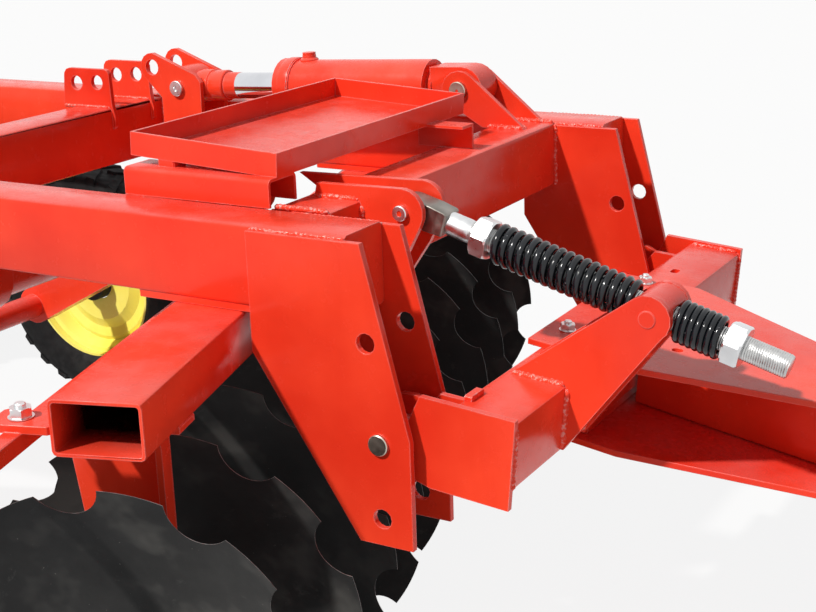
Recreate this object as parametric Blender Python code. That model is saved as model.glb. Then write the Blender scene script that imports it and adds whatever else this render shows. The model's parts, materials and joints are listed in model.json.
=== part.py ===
"""Trailed offset disc harrow: a ladder frame on two wheels, two angled gangs of notched discs,
a hinged drawbar with a sprung levelling rod, and a hydraulic cylinder that swings the wheels.

Metres. X points forward to the hitch, Y to the machine's left, Z up. The drawing datum is the front
face of the front crossbeam, the middle of the frame and the ground. Everything is moved at the end
so that the origin lies on the ground below the middle of the whole machine.
"""
import math

import bmesh
import bpy
from mathutils import Matrix, Vector

# ---------------------------------------------------------------- driving dimensions
GAP = 0.0003            # between pieces that touch
WELD = 0.002            # how deep a welded piece runs into what carries it
PLATE = 0.0127          # thickness of the heavy plates

FRAME_TOP = 1.009       # top of the frame above the ground
BEAM_H = 0.152          # height of the frame's tubes
BEAM_W = 0.126          # width of the frame's tubes
TUBE_EDGE = 0.009       # rounding along a tube's edges
TUBE_WALL = 0.0063      # wall of the open-ended tubes
FRAME_W = 1.266         # over the outer sides of the two long beams
BEAM_FRONT = 0.118      # front ends of the long beams
BEAM_REAR = -3.200
MIDDLE_BEAM_X = -1.200  # front face of the middle crossbeam
REAR_BEAM_X = -3.010    # front face of the rear crossbeam

GANG_ANGLE = math.radians(16.9)
GANG_BEAM_W = 0.158
GANG_BEAM_H = 0.096
GANG_PAD = 0.0134       # plate between the frame and a gang beam
PAD_LENGTH = 0.290
FRONT_GANG_X = -0.383   # where the gang beams' middle lines cross the machine's middle line
REAR_GANG_X = -2.790
GANG_BEAM_REACH = 1.155  # from the middle line to a gang beam's end, along the beam

DISC_COUNT = 10
DISC_PITCH = 0.2434
DISC_R = 0.352
DISC_T = 0.007
DISC_FLAT_R = 0.095     # flat middle of the dish
DISC_MIDDLE_R = 0.225   # ring of corners half way up the dish
DISC_DEPTH = 0.078
NOTCHES = 10
NOTCH_DEPTH = 0.047
AXLE_STEPS = 10         # flats round a gang's axle
GANG_AXLE_R = 0.024
SPOOL_R = 0.040
SPOOL_END_R = 0.068
SPOOL_CONE = 0.055      # length of each flared end of a spool
WASHER_R = 0.055
NUT_R = 0.034
BEARING_R = 0.078
BEARING_LENGTH = 0.070
BEARING_PLAY = 0.0008
HANGER_FRONT = 0.040    # hanger plate's reach ahead of the axle and behind it
HANGER_REAR = 0.137
HANGER_T = 0.016
HANGER_SPOOLS = (0, 4, 8)

SCRAPER_BAR = 0.032     # square bar behind each gang beam
SCRAPER_BACK = 0.145    # its middle behind the gang beam's middle
SCRAPER_Z = 0.767
SCRAPER_RIGHT = -1.450  # its ends, along the gang
SCRAPER_LEFT = 1.000
SCRAPER_LUGS = (-1.118, 0.0, 0.960)
SCRAPER_LUG_W = 0.069
SCRAPER_LUG_REAR = 0.190

SHAFT_X = -0.980        # rock shaft that carries the wheel arms
SHAFT_Z = 0.769
SHAFT_R = 0.070
SHAFT_PLAY = 0.0008
SHAFT_STEPS = 24
AXLE_X = -1.690
AXLE_R = 0.036
STUB_R = 0.024          # axle stub inside a hub
STUB_PLAY = 0.0008
HUB_BACK = 0.070        # how far the hub's back is inboard of the tyre's middle
ARM_Y = 0.455           # middle of each wheel arm
ARM_W = 0.070
ARM_H = 0.110
TYRE_R = 0.363
TYRE_W = 0.196
RIM_R = 0.235
WHEEL_Y = 0.738         # middle of each tyre, which clears the long beams
WHEEL_STEPS = 24

CRANK_PIN_X = -1.045    # middle of the rod's eye between the crank plates
CRANK_PIN_Z = 1.057
CRANK_HOLE_X = -1.127   # hole in each crank's nose
CRANK_HOLE_Z = 1.109
CRANK_HOLE_R = 0.0210
STOP_HOLE_R = 0.0195      # holes in the two-hole plates
BASE_PIN_X = -0.200     # pin of the cylinder's base
BASE_PIN_Z = 1.092
BASE_PIN_R = 0.016
CYLINDER_Y = 0.444
CRANK_GAP = 0.088       # between the two crank plates, and between the two base ears
CRANK_T = 0.014
BARREL_R = 0.067
GLAND_R = 0.071
CYLINDER_ROD_R = 0.034
BARREL_START = 0.0965   # along the cylinder from its base pin
BARREL_END = 0.484
GLAND_END = 0.532
PORT = 0.456            # oil port along the barrel
EYE_W = 0.080           # width of the eyes at the cylinder's two ends

PIVOT_X = 0.180         # pin that the drawbar swings on
PIVOT_Z = 0.641
PIVOT_R = 0.0190
PIVOT_PLAY = 0.0004
PIN_HEAD = 0.006        # how far a hinge pin stands out of its plates
HOLE_R = 0.0185
DRAWBAR_PITCH = math.radians(5.2)
CROSS_TUBE_W = 0.125
CROSS_TUBE_H = 0.130
CROSS_TUBE_X = 0.115    # its rear face ahead of the pin, along the drawbar
CROSS_TUBE_Z = 0.086    # its top above the pin, along the drawbar's own upright
END_PLATE = (0.090, 0.243, -0.072, 0.096)  # heel, front, foot and top of the cross tube's end plates
END_INSET = 0.018       # their outer faces inside the frame's outer sides
LUG_INSET = 0.096       # outer faces of the second hinge lugs inside the frame's outer sides
LUG_NOSE_R = 0.060      # round end of each drawbar lug about its pin

ROD_Y = -0.340
ROD_PIN_X = 0.088
ROD_PIN_Z = 0.993
ROD_PIN_R = 0.0125
TRUNNION_X = 0.577
TRUNNION_Z = 0.850
TRUNNION_R = 0.042
STUB_PIN_R = 0.0140     # trunnion's own pins in the levers
ROD_R = 0.0222
ROD_SLACK = 0.0030      # between the rod and the trunnion's hole
ROD_LENGTH = 0.757
ROD_EYE_R = 0.030
ROD_SHANK_R = 0.026     # plain shank next to the eye
SHANK_END = 0.090
NUT_CORNER_R = 0.041    # corner radius of the rod's nuts
NUT_T = 0.034
INNER_NUT = 0.140       # nuts' near faces along the rod from its pin
OUTER_NUT = 0.641
SPRING_R = 0.040
SPRING_PLAY = 0.0015    # between the rod and the springs
LEVER_GAP = 0.084       # between the two lever plates
LEVER_NOSE_R = 0.043
ROD_LUG_GAP = 0.068

TONGUE_YAW = math.radians(-11.1)
TONGUE_Y = 0.042        # tongue's middle where it meets the cross tube
TONGUE_LENGTH = 2.35
TONGUE_TUBE_W = 0.120
TONGUE_TUBE_H = 0.160
# tongue plates' outline: ahead of the drawbar's pin, to the left
TONGUE_PLATE = ((0.090, -0.245), (0.300, -0.270), (0.670, -0.220), (1.000, -0.176), (1.000, -0.060),
                (0.720, -0.003), (0.560, 0.085), (0.260, 0.255), (0.090, 0.250))

HITCH_JAW_T = 0.020
HITCH_GAP = 0.060       # between the jaws
HITCH_PIN_X = 0.130     # pin hole ahead of the tongue's end
HITCH_PIN_R = 0.0165
JACK_BACK = 0.450       # jack behind the tongue's end
JACK_OUT = 0.075        # jack's middle to the tongue's side
JACK_LEG_R = 0.024
JACK_WALL = 0.005
JACK_LOW = 0.360        # sleeve's ends above the ground
JACK_HIGH = 0.940
JACK_LEG_TOP = 0.560
JACK_FOOT_R = 0.075

TRAY_REAR = -0.470      # tray's floor, before it is pitched down to the front
TRAY_FRONT = -0.122
TRAY_RIGHT = -0.483
TRAY_LEFT = 0.262
TRAY_SIDE = 0.047
TRAY_SHEET = 0.005
TRAY_PITCH = math.radians(3.25)
TRAY_LOW = 0.0525       # underside of its front edge above the frame
SUPPORT_SHEET = 0.006
SUPPORT_BEND = 0.011     # outer radius of the folds in the tray's supports

RED = ("red_paint", (0.72, 0.035, 0.018), 0.35, 0.0)
DARK = ("disc_steel", (0.022, 0.022, 0.023), 0.45, 0.35)
BLACK = ("black_gloss", (0.010, 0.010, 0.011), 0.25, 0.0)
ZINC = ("zinc_steel", (0.55, 0.56, 0.57), 0.35, 1.0)
CHROME = ("chrome", (0.75, 0.76, 0.78), 0.08, 1.0)
YELLOW = ("yellow_paint", (0.83, 0.62, 0.02), 0.35, 0.0)
RUBBER = ("tyre_rubber", (0.016, 0.016, 0.017), 0.85, 0.0)

X, Y, Z = Vector((1, 0, 0)), Vector((0, 1, 0)), Vector((0, 0, 1))
HALF_FRAME = FRAME_W / 2
INNER_SIDE = HALF_FRAME - BEAM_W
RIGHT, LEFT = -1, 1
SIDES = ((RIGHT, "right"), (LEFT, "left"))


# ---------------------------------------------------------------- making solids
def clear_scene():
    for old in list(bpy.data.objects):
        bpy.data.objects.remove(old, do_unlink=True)


def material(spec):
    name, colour, roughness, metallic = spec
    mat = bpy.data.materials.get(name) or bpy.data.materials.new(name)
    mat.use_nodes = True
    shader = mat.node_tree.nodes["Principled BSDF"]
    shader.inputs["Base Color"].default_value = (*colour, 1.0)
    shader.inputs["Roughness"].default_value = roughness
    shader.inputs["Metallic"].default_value = metallic
    return mat


def finish_mesh(name, bm, finish, smooth=False):
    """Turn a bmesh into a named object with its faces pointing out."""
    bmesh.ops.remove_doubles(bm, verts=bm.verts, dist=1e-6)
    bmesh.ops.recalc_face_normals(bm, faces=bm.faces)
    mesh = bpy.data.meshes.new(name)
    bm.to_mesh(mesh)
    bm.free()
    mesh.materials.append(material(finish))
    if smooth:
        mesh.shade_smooth()
        mesh.set_sharp_from_angle(angle=math.radians(35))
    thing = bpy.data.objects.new(name, mesh)
    bpy.context.collection.objects.link(thing)
    return thing


def axes(origin, u, v, w):
    """The matrix that takes (u, v, w) of a flat drawing into the machine's space."""
    m = Matrix((u, v, w)).transposed().to_4x4()
    m.translation = origin
    return m


def circle(cx, cy, radius, steps=16, start=0.0):
    turns = (start + 2 * math.pi * i / steps for i in range(steps))
    return [(cx + radius * math.cos(a), cy + radius * math.sin(a)) for a in turns]


def rounded(width, height, radius, steps=2, cx=0.0, cy=0.0):
    """A rectangle with round corners about (cx, cy)."""
    points = []
    for sx, sy, first in ((1, 1, 0), (-1, 1, 1), (-1, -1, 2), (1, -1, 3)):
        mx, my = cx + sx * (width / 2 - radius), cy + sy * (height / 2 - radius)
        for i in range(steps + 1):
            a = math.pi / 2 * (first + i / steps)
            points.append((mx + radius * math.cos(a), my + radius * math.sin(a)))
    return points


def arc(cx, cy, radius, start, end, steps):
    """Points on an arc, angles in degrees, both ends included."""
    turns = (math.radians(start + (end - start) * i / steps) for i in range(steps + 1))
    return [(cx + radius * math.cos(a), cy + radius * math.sin(a)) for a in turns]


def bore_radius(shaft, play, steps):
    """Corner radius of a many-sided bore that clears a round shaft by play at its flats."""
    return (shaft + play) / math.cos(math.pi / steps)


def prism(name, outline, place, depth, finish, holes=(), smooth=False):
    """A flat outline with holes, drawn in place's first two axes and made thick along its third."""
    bm = bmesh.new()
    edges = []
    for loop in (outline, *holes):
        ring = [bm.verts.new(place @ Vector((u, v, 0.0))) for u, v in loop]
        edges += [bm.edges.new((ring[i - 1], ring[i])) for i in range(len(ring))]
    bmesh.ops.triangle_fill(bm, edges=edges, use_beauty=True, use_dissolve=False)
    shift = (place.to_3x3() @ Z) * depth
    new = bmesh.ops.extrude_face_region(bm, geom=list(bm.faces))
    bmesh.ops.translate(bm, vec=shift, verts=[v for v in new["geom"] if isinstance(v, bmesh.types.BMVert)])
    return finish_mesh(name, bm, finish, smooth)


def turned(name, rings, place, finish, steps=16, smooth=True, phase=0.0):
    """A solid of revolution about place's third axis. rings are (radius, height); a radius of 0 is
    a point. A profile that ends where it began is a ring with a hole through it. phase turns the
    flats, as a share of one."""
    bm = bmesh.new()
    loops = []
    closed = rings[0] == rings[-1]
    for radius, height in rings[:-1] if closed else rings:
        if radius == 0:
            loops.append([bm.verts.new(place @ Vector((0, 0, height)))])
        else:
            points = circle(0, 0, radius, steps, 2 * math.pi * phase / steps)
            loops.append([bm.verts.new(place @ Vector((u, v, height))) for u, v in points])
    pairs = list(zip(loops, loops[1:])) + ([(loops[-1], loops[0])] if closed else [])
    for low, high in pairs:
        for i in range(steps):
            corners = [low[i - 1 if len(low) > 1 else 0], low[i if len(low) > 1 else 0],
                       high[i if len(high) > 1 else 0], high[i - 1 if len(high) > 1 else 0]]
            bm.faces.new(list(dict.fromkeys(corners)))
    if not closed:
        for end in (loops[0], loops[-1]):
            if len(end) > 1:
                bm.faces.new(end)
    return finish_mesh(name, bm, finish, smooth)


def fused(name, pieces, finish, smooth=False, cutters=()):
    """Join pieces that overlap into one body and cut the cutters from it."""
    base = pieces[0]
    for mode, others in (("UNION", pieces[1:]), ("DIFFERENCE", cutters)):
        for other in others:
            step = base.modifiers.new(mode.lower(), "BOOLEAN")
            step.operation = mode
            step.solver = "EXACT"
            step.object = other
    bpy.context.view_layer.update()
    graph = bpy.context.evaluated_depsgraph_get()
    mesh = bpy.data.meshes.new_from_object(base.evaluated_get(graph))
    for piece in (*pieces, *cutters):
        bpy.data.objects.remove(piece, do_unlink=True)
    bm = bmesh.new()
    bm.from_mesh(mesh)
    bmesh.ops.triangulate(bm, faces=bm.faces)
    bmesh.ops.dissolve_degenerate(bm, dist=1e-6, edges=bm.edges)
    return finish_mesh(name, bm, finish, smooth)


def set_origin(thing, point):
    """Put an object's own origin on its joint's axis without moving its shape."""
    thing.data.transform(Matrix.Translation(-Vector(point)))
    thing.location = point


# ---------------------------------------------------------------- frame
def long_beam(side, word):
    """Tube along the machine, with the pads below it for the gang beams and the rock shaft's bearing."""
    y = side * (HALF_FRAME - BEAM_W / 2)
    place = axes(Vector((BEAM_REAR, y, FRAME_TOP - BEAM_H / 2)), Y, Z, X)
    pieces = [prism("tube", rounded(BEAM_W, BEAM_H, TUBE_EDGE), place, BEAM_FRONT - BEAM_REAR, RED)]
    for angle, crossing in ((GANG_ANGLE, FRONT_GANG_X), (-GANG_ANGLE, REAR_GANG_X)):
        x = crossing - y * math.tan(angle)
        low = Vector((x, y, FRAME_TOP - BEAM_H - GANG_PAD + GAP))
        pieces.append(prism("pad", rounded(PAD_LENGTH, BEAM_W - 0.010, 0.004, 1), axes(low, X, Y, Z),
                            GANG_PAD + WELD, RED))
    pieces.append(shaft_bearing(y))
    fused(f"{word}_beam", pieces, RED)


def crossbeam(name, front, reach, fittings=()):
    """A tube across the machine between plates or beams that stand at +-reach, with what it carries."""
    low = Vector((front - BEAM_W / 2, -reach + GAP, FRAME_TOP - BEAM_H / 2))
    tube = prism("tube", rounded(BEAM_W, BEAM_H, TUBE_EDGE), axes(low, X, Z, Y), 2 * (reach - GAP), RED)
    fused(name, [tube, *fittings], RED)


def clevis_outline():
    """Hinge plate at the front of a long beam: x, height below the frame's top."""
    points = ((-0.083, -0.006), (0.155, -0.006), (0.243, -0.354), (0.243, -0.563),
              (0.133, -0.563), (-0.083, -0.232))
    return [(x, FRAME_TOP + z) for x, z in points]


def clevis_plate(side, word, where):
    """One of the two hinge plates on a long beam. The outer one holds the drawbar's pin."""
    out = where == "outer"
    y = side * (HALF_FRAME + GAP + PLATE / 2 if out else INNER_SIDE - GAP - PLATE / 2)
    holes = [circle(0.160, FRAME_TOP - 0.184, HOLE_R, 12), circle(0.181, FRAME_TOP - 0.511, HOLE_R, 12)]
    pin_length = BEAM_W + 2 * (PLATE + GAP + PIN_HEAD)
    if not out:
        holes.append(circle(PIVOT_X, PIVOT_Z, bore_radius(PIVOT_R, GAP, 16), 16, math.pi / 16))
    plate = prism("plate", clevis_outline(), axes(Vector((0, y + PLATE / 2, 0)), X, Z, -Y), PLATE, RED, holes)
    pieces = [plate]
    if out:
        start = Vector((PIVOT_X, side * (HALF_FRAME + GAP + PLATE + PIN_HEAD), PIVOT_Z))
        pieces.append(turned("pin", [(0, 0), (PIVOT_R, 0), (PIVOT_R, pin_length), (0, pin_length)],
                             axes(start, X, Z * side, -Y * side), RED, 16))
    fused(f"{word}_{where}_clevis_plate", pieces, RED)


def frame():
    for side, word in SIDES:
        long_beam(side, word)
        clevis_plate(side, word, "outer")
        clevis_plate(side, word, "inner")
    crossbeam("front_crossbeam", 0.0, INNER_SIDE - PLATE - GAP, [*base_ears(), *rod_lugs()])
    crossbeam("middle_crossbeam", MIDDLE_BEAM_X, INNER_SIDE, stop_plates())
    crossbeam("rear_crossbeam", REAR_BEAM_X, INNER_SIDE)


# ---------------------------------------------------------------- gangs
def gang_axes(angle, crossing):
    """Along the gang towards the left, and level across it towards the front."""
    along = Vector((-math.sin(angle), math.cos(angle), 0))
    across = Vector((math.cos(angle), math.sin(angle), 0))
    return Vector((crossing, 0, 0)), along, across


def disc_outline():
    """Rim of a notched disc: lobes on the full radius with round notches between, as (angle, radius)."""
    step = 2 * math.pi / NOTCHES
    shape = ((0.00, 0.0), (0.25, 0.0), (0.50, 0.0), (0.59, 0.73), (0.75, 1.0), (0.91, 0.73))
    return [((i + turn) * step, DISC_R - NOTCH_DEPTH * depth) for i in range(NOTCHES) for turn, depth in shape]


def dish_height(radius):
    """How far the dish stands out at a radius."""
    reach = max(0.0, radius - DISC_FLAT_R) / (DISC_R - DISC_FLAT_R)
    return DISC_DEPTH * reach ** 1.6


def bridge(bm, inner, outer):
    """Triangles between two rings of different counts; each is a list of (angle, vertex)."""
    turn = 2 * math.pi
    i = j = 0
    while i < len(inner) or j < len(outer):
        a = inner[i % len(inner)]
        b = outer[j % len(outer)]
        next_a = inner[(i + 1) % len(inner)][0] + turn * ((i + 1) // len(inner))
        next_b = outer[(j + 1) % len(outer)][0] + turn * ((j + 1) // len(outer))
        if i < len(inner) and (j >= len(outer) or next_a <= next_b):
            bm.faces.new((a[1], inner[(i + 1) % len(inner)][1], b[1]))
            i += 1
        else:
            bm.faces.new((a[1], outer[(j + 1) % len(outer)][1], b[1]))
            j += 1


def disc(name, centre, along, across, hollow):
    """A dished, notched disc about a gang's axle; hollow is the way that its hollow side faces."""
    facing = along * hollow
    place = axes(centre, across, Z, facing)
    bm = bmesh.new()
    bore = bore_radius(GANG_AXLE_R, GAP, AXLE_STEPS)
    rows = [[(2 * math.pi * k / steps, radius) for k in range(steps)]
            for radius, steps in ((bore, AXLE_STEPS), (DISC_FLAT_R, AXLE_STEPS), (DISC_MIDDLE_R, 15))]
    rows.append(disc_outline())
    sheets = []
    for face in (DISC_T / 2, -DISC_T / 2):
        sheet = []
        for row in rows:
            sheet.append([(a, bm.verts.new(place @ Vector((r * math.cos(a), r * math.sin(a),
                                                           dish_height(r) + face)))) for a, r in row])
        for inner, outer in zip(sheet, sheet[1:]):
            bridge(bm, inner, outer)
        sheets.append(sheet)
    for row in (0, -1):
        front, behind = sheets[0][row], sheets[1][row]
        for k in range(len(front)):
            bm.faces.new((front[k - 1][1], front[k][1], behind[k][1], behind[k - 1][1]))
    set_origin(finish_mesh(name, bm, DARK, True), centre)


def gang(word, angle, crossing, hollow):
    """One gang: its beam under two pads, its hangers, and the row of discs on their axle."""
    origin, along, across = gang_axes(angle, crossing)
    beam_top = FRAME_TOP - BEAM_H - GANG_PAD
    outline = rounded(GANG_BEAM_W, GANG_BEAM_H, TUBE_EDGE)
    hole = rounded(GANG_BEAM_W - 2 * TUBE_WALL, GANG_BEAM_H - 2 * TUBE_WALL, TUBE_EDGE / 2, 2)
    start = origin - along * GANG_BEAM_REACH + Z * (beam_top - GANG_BEAM_H / 2)
    prism(f"{word}_gang_beam", outline, axes(start, across, Z, along), 2 * GANG_BEAM_REACH, RED, [hole])
    scraper_bar(word, origin, along, across)
    first = origin - along * (DISC_PITCH * (DISC_COUNT - 1) / 2) + Z * DISC_R
    for n in range(DISC_COUNT):
        disc(f"{word}_disc_{n + 1}", first + along * (DISC_PITCH * n), along, across, hollow)
    axle(word, first, along, across)
    for n, spool in enumerate(HANGER_SPOOLS, 1):
        middle = first + along * (DISC_PITCH * (spool + 0.5))
        hanger(f"{word}_hanger_{n}", middle, along, across, beam_top - GANG_BEAM_H)


def scraper_bar(word, origin, along, across):
    """Square bar behind the gang beam, below flat lugs on the beam's rear side."""
    half = SCRAPER_BAR / 2
    start = origin + along * SCRAPER_RIGHT - across * SCRAPER_BACK + Z * SCRAPER_Z
    bar = prism("bar", rounded(SCRAPER_BAR, SCRAPER_BAR, 0.002, 1), axes(start, across, Z, along),
                SCRAPER_LEFT - SCRAPER_RIGHT, RED)
    front = -GANG_BEAM_W / 2 - GAP
    lugs = []
    for spot in SCRAPER_LUGS:
        low = origin + along * spot + Z * (SCRAPER_Z + half - WELD)
        outline = rounded(SCRAPER_LUG_REAR + front, SCRAPER_LUG_W, 0.006, 1, (front - SCRAPER_LUG_REAR) / 2)
        lugs.append(prism("lug", outline, axes(low, across, along, Z), PLATE + WELD, RED))
    fused(f"{word}_scraper_bar", [bar, *lugs], RED)


def axle(word, first, along, across):
    """The gang's axle with a spool between each two discs and a washer and nut at each end."""
    half = DISC_T / 2 + GAP
    washer, nut = 0.026, 0.060
    rings = [(0, -nut), (NUT_R, -nut), (NUT_R, -washer), (WASHER_R, -washer), (WASHER_R, -half),
             (GANG_AXLE_R, -half)]
    for n in range(DISC_COUNT - 1):
        a, b = DISC_PITCH * n + half, DISC_PITCH * (n + 1) - half
        rings += [(GANG_AXLE_R, a), (SPOOL_END_R, a), (SPOOL_R, a + SPOOL_CONE), (SPOOL_R, b - SPOOL_CONE),
                  (SPOOL_END_R, b), (GANG_AXLE_R, b)]
    end = DISC_PITCH * (DISC_COUNT - 1)
    rings += [(GANG_AXLE_R, end + half), (WASHER_R, end + half), (WASHER_R, end + washer),
              (NUT_R, end + washer), (NUT_R, end + nut), (0, end + nut)]
    thing = turned(f"{word}_gang_axle", rings, axes(first, across, Z, along), DARK, AXLE_STEPS)
    set_origin(thing, first)


def hanger(name, centre, along, across, beam_low):
    """Flanged plate under the gang beam with a bearing round a spool at its foot."""
    top = beam_low - GAP - centre.z
    foot_t, foot_length, flange_t, flange_w = 0.014, 0.066, 0.012, 0.045
    front, rear, under = HANGER_FRONT - WELD, -HANGER_REAR, top - foot_t + WELD
    outline = [(front, under), (rear, under), (rear, under - 0.050), (rear + 0.030, 0.090),
               *arc(0, 0, BEARING_R - 0.004, 160, 360, 8), (front, 0.100)]
    plate = prism("plate", outline, axes(centre - along * (HANGER_T / 2), across, Z, along), HANGER_T, RED)
    foot = prism("foot", rounded(GANG_BEAM_W - 0.008, foot_t, 0.002, 1, 0, top - foot_t / 2),
                 axes(centre - along * (foot_length / 2), across, Z, along), foot_length, RED)
    edge = [(0.0, under), (flange_w, under - 0.001), (0.75 * flange_w, under - 0.030),
            (0.75 * flange_w, 0.120), (0.0, 0.060)]
    flange = prism("flange", edge, axes(centre + across * (HANGER_FRONT - flange_t), -along, Z, across),
                   flange_t, RED)
    ring = turned("ring", [(0, -BEARING_LENGTH / 2), (BEARING_R, -BEARING_LENGTH / 2),
                           (BEARING_R, BEARING_LENGTH / 2), (0, BEARING_LENGTH / 2)],
                  axes(centre, across, Z, along), RED, 16)
    bore = bore_radius(SPOOL_R, BEARING_PLAY, AXLE_STEPS)
    cutter = turned("bore", [(0, -BEARING_LENGTH), (bore, -BEARING_LENGTH), (bore, BEARING_LENGTH),
                             (0, BEARING_LENGTH)], axes(centre, across, Z, along), RED, AXLE_STEPS, phase=0.5)
    fused(name, [plate, foot, flange, ring], RED, True, [cutter])


# ---------------------------------------------------------------- wheels and lift
def lift():
    """The wheel carrier: rock shaft, arms, axle and cranks welded together, and the wheels on it."""
    shaft = Vector((SHAFT_X, 0, SHAFT_Z))
    reach = HALF_FRAME - 0.006
    bar = turned("bar", [(0, 0), (SHAFT_R, 0), (SHAFT_R, 2 * reach), (0, 2 * reach)],
                 axes(shaft - Y * reach, Z, X, Y), RED, SHAFT_STEPS)
    arms = [wheel_arm(side) for side, word in SIDES]
    set_origin(fused("wheel_carrier", [bar, axle_bar(), *arms, *cranks()], RED, True), shaft)
    for side, word in SIDES:
        wheel(side, word)


def shaft_bearing(y):
    """Plate bearing under a long beam that the rock shaft turns in."""
    thickness, reach = 0.030, 0.140
    top = FRAME_TOP - BEAM_H + WELD - SHAFT_Z
    outline = [(reach, top), (-reach, top), (-reach, top - 0.014), *arc(0, 0, SHAFT_R + 0.028, 180, 360, 12),
               (reach, top - 0.014)]
    bore = bore_radius(SHAFT_R, SHAFT_PLAY, SHAFT_STEPS)
    return prism("bearing", outline, axes(Vector((SHAFT_X, y + thickness / 2, SHAFT_Z)), X, Z, -Y), thickness,
                 RED, [circle(0, 0, bore, SHAFT_STEPS, math.pi / SHAFT_STEPS)])


def wheel_arm(side):
    """Box arm from the rock shaft down to the axle."""
    y = side * ARM_Y
    run = Vector((AXLE_X - SHAFT_X, 0, TYRE_R - SHAFT_Z))
    u = run.normalized()
    place = axes(Vector((SHAFT_X, y + ARM_W / 2, SHAFT_Z)), u, u.cross(Y), -Y)
    outline = [*arc(0, 0, SHAFT_R + 0.018, 60, 300, 10), *arc(run.length, 0, ARM_H / 2, -80, 80, 8)]
    return prism("arm", outline, place, ARM_W, RED)


def axle_bar():
    """The tube between the wheel arms, with a stub at each end for a wheel."""
    reach = WHEEL_Y + 0.070
    step = reach - (WHEEL_Y - HUB_BACK)
    rings = [(0, 0), (STUB_R, 0), (STUB_R, step), (AXLE_R, step), (AXLE_R, 2 * reach - step),
             (STUB_R, 2 * reach - step), (STUB_R, 2 * reach), (0, 2 * reach)]
    return turned("axle", rings, axes(Vector((AXLE_X, -reach, TYRE_R)), Z, X, Y), RED, 16)


def wheel(side, word):
    """Tyre, and a dished rim with its hub."""
    centre = Vector((AXLE_X, side * WHEEL_Y, TYRE_R))
    place = axes(centre, Z, X * side, Y * side)
    w = TYRE_W / 2
    seat = RIM_R + GAP
    tread = [(seat, -w * 0.80), (RIM_R + 0.05, -w), (TYRE_R - 0.045, -w * 0.97), (TYRE_R, -w * 0.55),
             (TYRE_R, w * 0.55), (TYRE_R - 0.045, w * 0.97), (RIM_R + 0.05, w), (seat, w * 0.80),
             (seat, -w * 0.80)]
    tyre = turned(f"{word}_tyre", tread, place, RUBBER, WHEEL_STEPS)
    set_origin(tyre, centre)
    bore = bore_radius(STUB_R, STUB_PLAY, WHEEL_STEPS)
    back = -HUB_BACK + GAP
    rim = [(bore, back), (0.052, back), (0.052, -0.020), (0.120, -0.032), (0.150, -0.010),
           (RIM_R - 0.030, -0.008), (RIM_R - 0.018, -w * 0.78), (RIM_R, -w * 0.80), (RIM_R, w * 0.80),
           (RIM_R - 0.014, w * 0.78), (RIM_R - 0.024, 0.006), (0.150, 0.004), (0.120, -0.018),
           (0.052, -0.006), (0.052, 0.045), (bore, 0.045), (bore, back)]
    hub = turned(f"{word}_rim", rim, place, YELLOW, WHEEL_STEPS)
    set_origin(hub, centre)


def cranks():
    """The pair of plates on the rock shaft that the cylinder pushes."""
    nose = (CRANK_HOLE_X - SHAFT_X, CRANK_HOLE_Z - SHAFT_Z)
    outline = [(0.060, -0.080), (0.090, 0.0), (0.075, 0.070), (0.008, 0.150), (0.011, 0.306),
               (-0.004, 0.325), *arc(*nose, 0.038, 85, 225, 6), (-0.120, 0.260), (-0.120, 0.150),
               (-0.095, 0.0), (-0.060, -0.080)]
    plates = []
    for offset in (-CRANK_GAP / 2 - CRANK_T, CRANK_GAP / 2):
        place = axes(Vector((SHAFT_X, CYLINDER_Y + offset + CRANK_T, SHAFT_Z)), X, Z, -Y)
        plates.append(prism("crank", outline, place, CRANK_T, RED, [circle(*nose, CRANK_HOLE_R, 16)]))
    return plates


def cylinder():
    """Barrel from the base ears to its gland, and the rod out to the crank."""
    base = Vector((BASE_PIN_X, CYLINDER_Y, BASE_PIN_Z))
    tip = Vector((CRANK_PIN_X, CYLINDER_Y, CRANK_PIN_Z))
    u = (tip - base).normalized()
    v = Y.cross(u)
    place = axes(base, v, Y, u)
    length = (tip - base).length
    half = EYE_W / 2
    tang_r, tang_end, neck_r = 0.053, 0.085, 0.045
    rod_start, bore_start = 0.275, 0.120
    bore = bore_radius(CYLINDER_ROD_R, 0.0004, 16)
    rings = [(0, tang_end - WELD), (neck_r, tang_end - WELD), (neck_r, BARREL_START),
             (BARREL_R, BARREL_START), (BARREL_R, BARREL_END), (GLAND_R, BARREL_END), (GLAND_R, GLAND_END),
             (bore, GLAND_END), (bore, bore_start), (0, bore_start)]
    tube = turned("tube", rings, place, RED, 24)
    tang = prism("tang", [*arc(0, 0, tang_r, 90, 270, 10), (tang_end, -tang_r), (tang_end, tang_r)],
                 axes(base + Y * half, u, v, -Y), EYE_W, RED)
    port = turned("port", [(0, 0.050), (0.017, 0.050), (0.017, 0.086), (0, 0.086)],
                  axes(base + u * PORT, u, Y, v if v.z > 0 else -v), RED, 12)
    hole = prism("hole", circle(0, 0, bore_radius(BASE_PIN_R, GAP, 16), 16, math.pi / 16),
                 axes(base + Y * EYE_W, X, Z, -Y), 2 * EYE_W, RED)
    set_origin(fused("cylinder_barrel", [tube, tang, port], RED, True, [hole]), base)
    collar_start, collar_r, eye_r = length - 0.125, 0.040, 0.055
    bar = turned("bar", [(0, rod_start), (CYLINDER_ROD_R, rod_start), (CYLINDER_ROD_R, collar_start + WELD),
                         (0, collar_start + WELD)], place, CHROME, 16, phase=0.5)
    collar = turned("collar", [(0, collar_start), (collar_r, collar_start), (collar_r, length - 0.030),
                               (0, length - 0.030)], place, RED, 16)
    eye = prism("eye", circle(0, 0, eye_r, 20), axes(tip + Y * half, X, Z, -Y), EYE_W, RED)
    hole = prism("hole", circle(0, 0, 0.020, 16), axes(tip + Y * EYE_W, X, Z, -Y), 2 * EYE_W, RED)
    set_origin(fused("cylinder_rod", [bar, collar, eye], CHROME, True, [hole]), tip)


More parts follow.
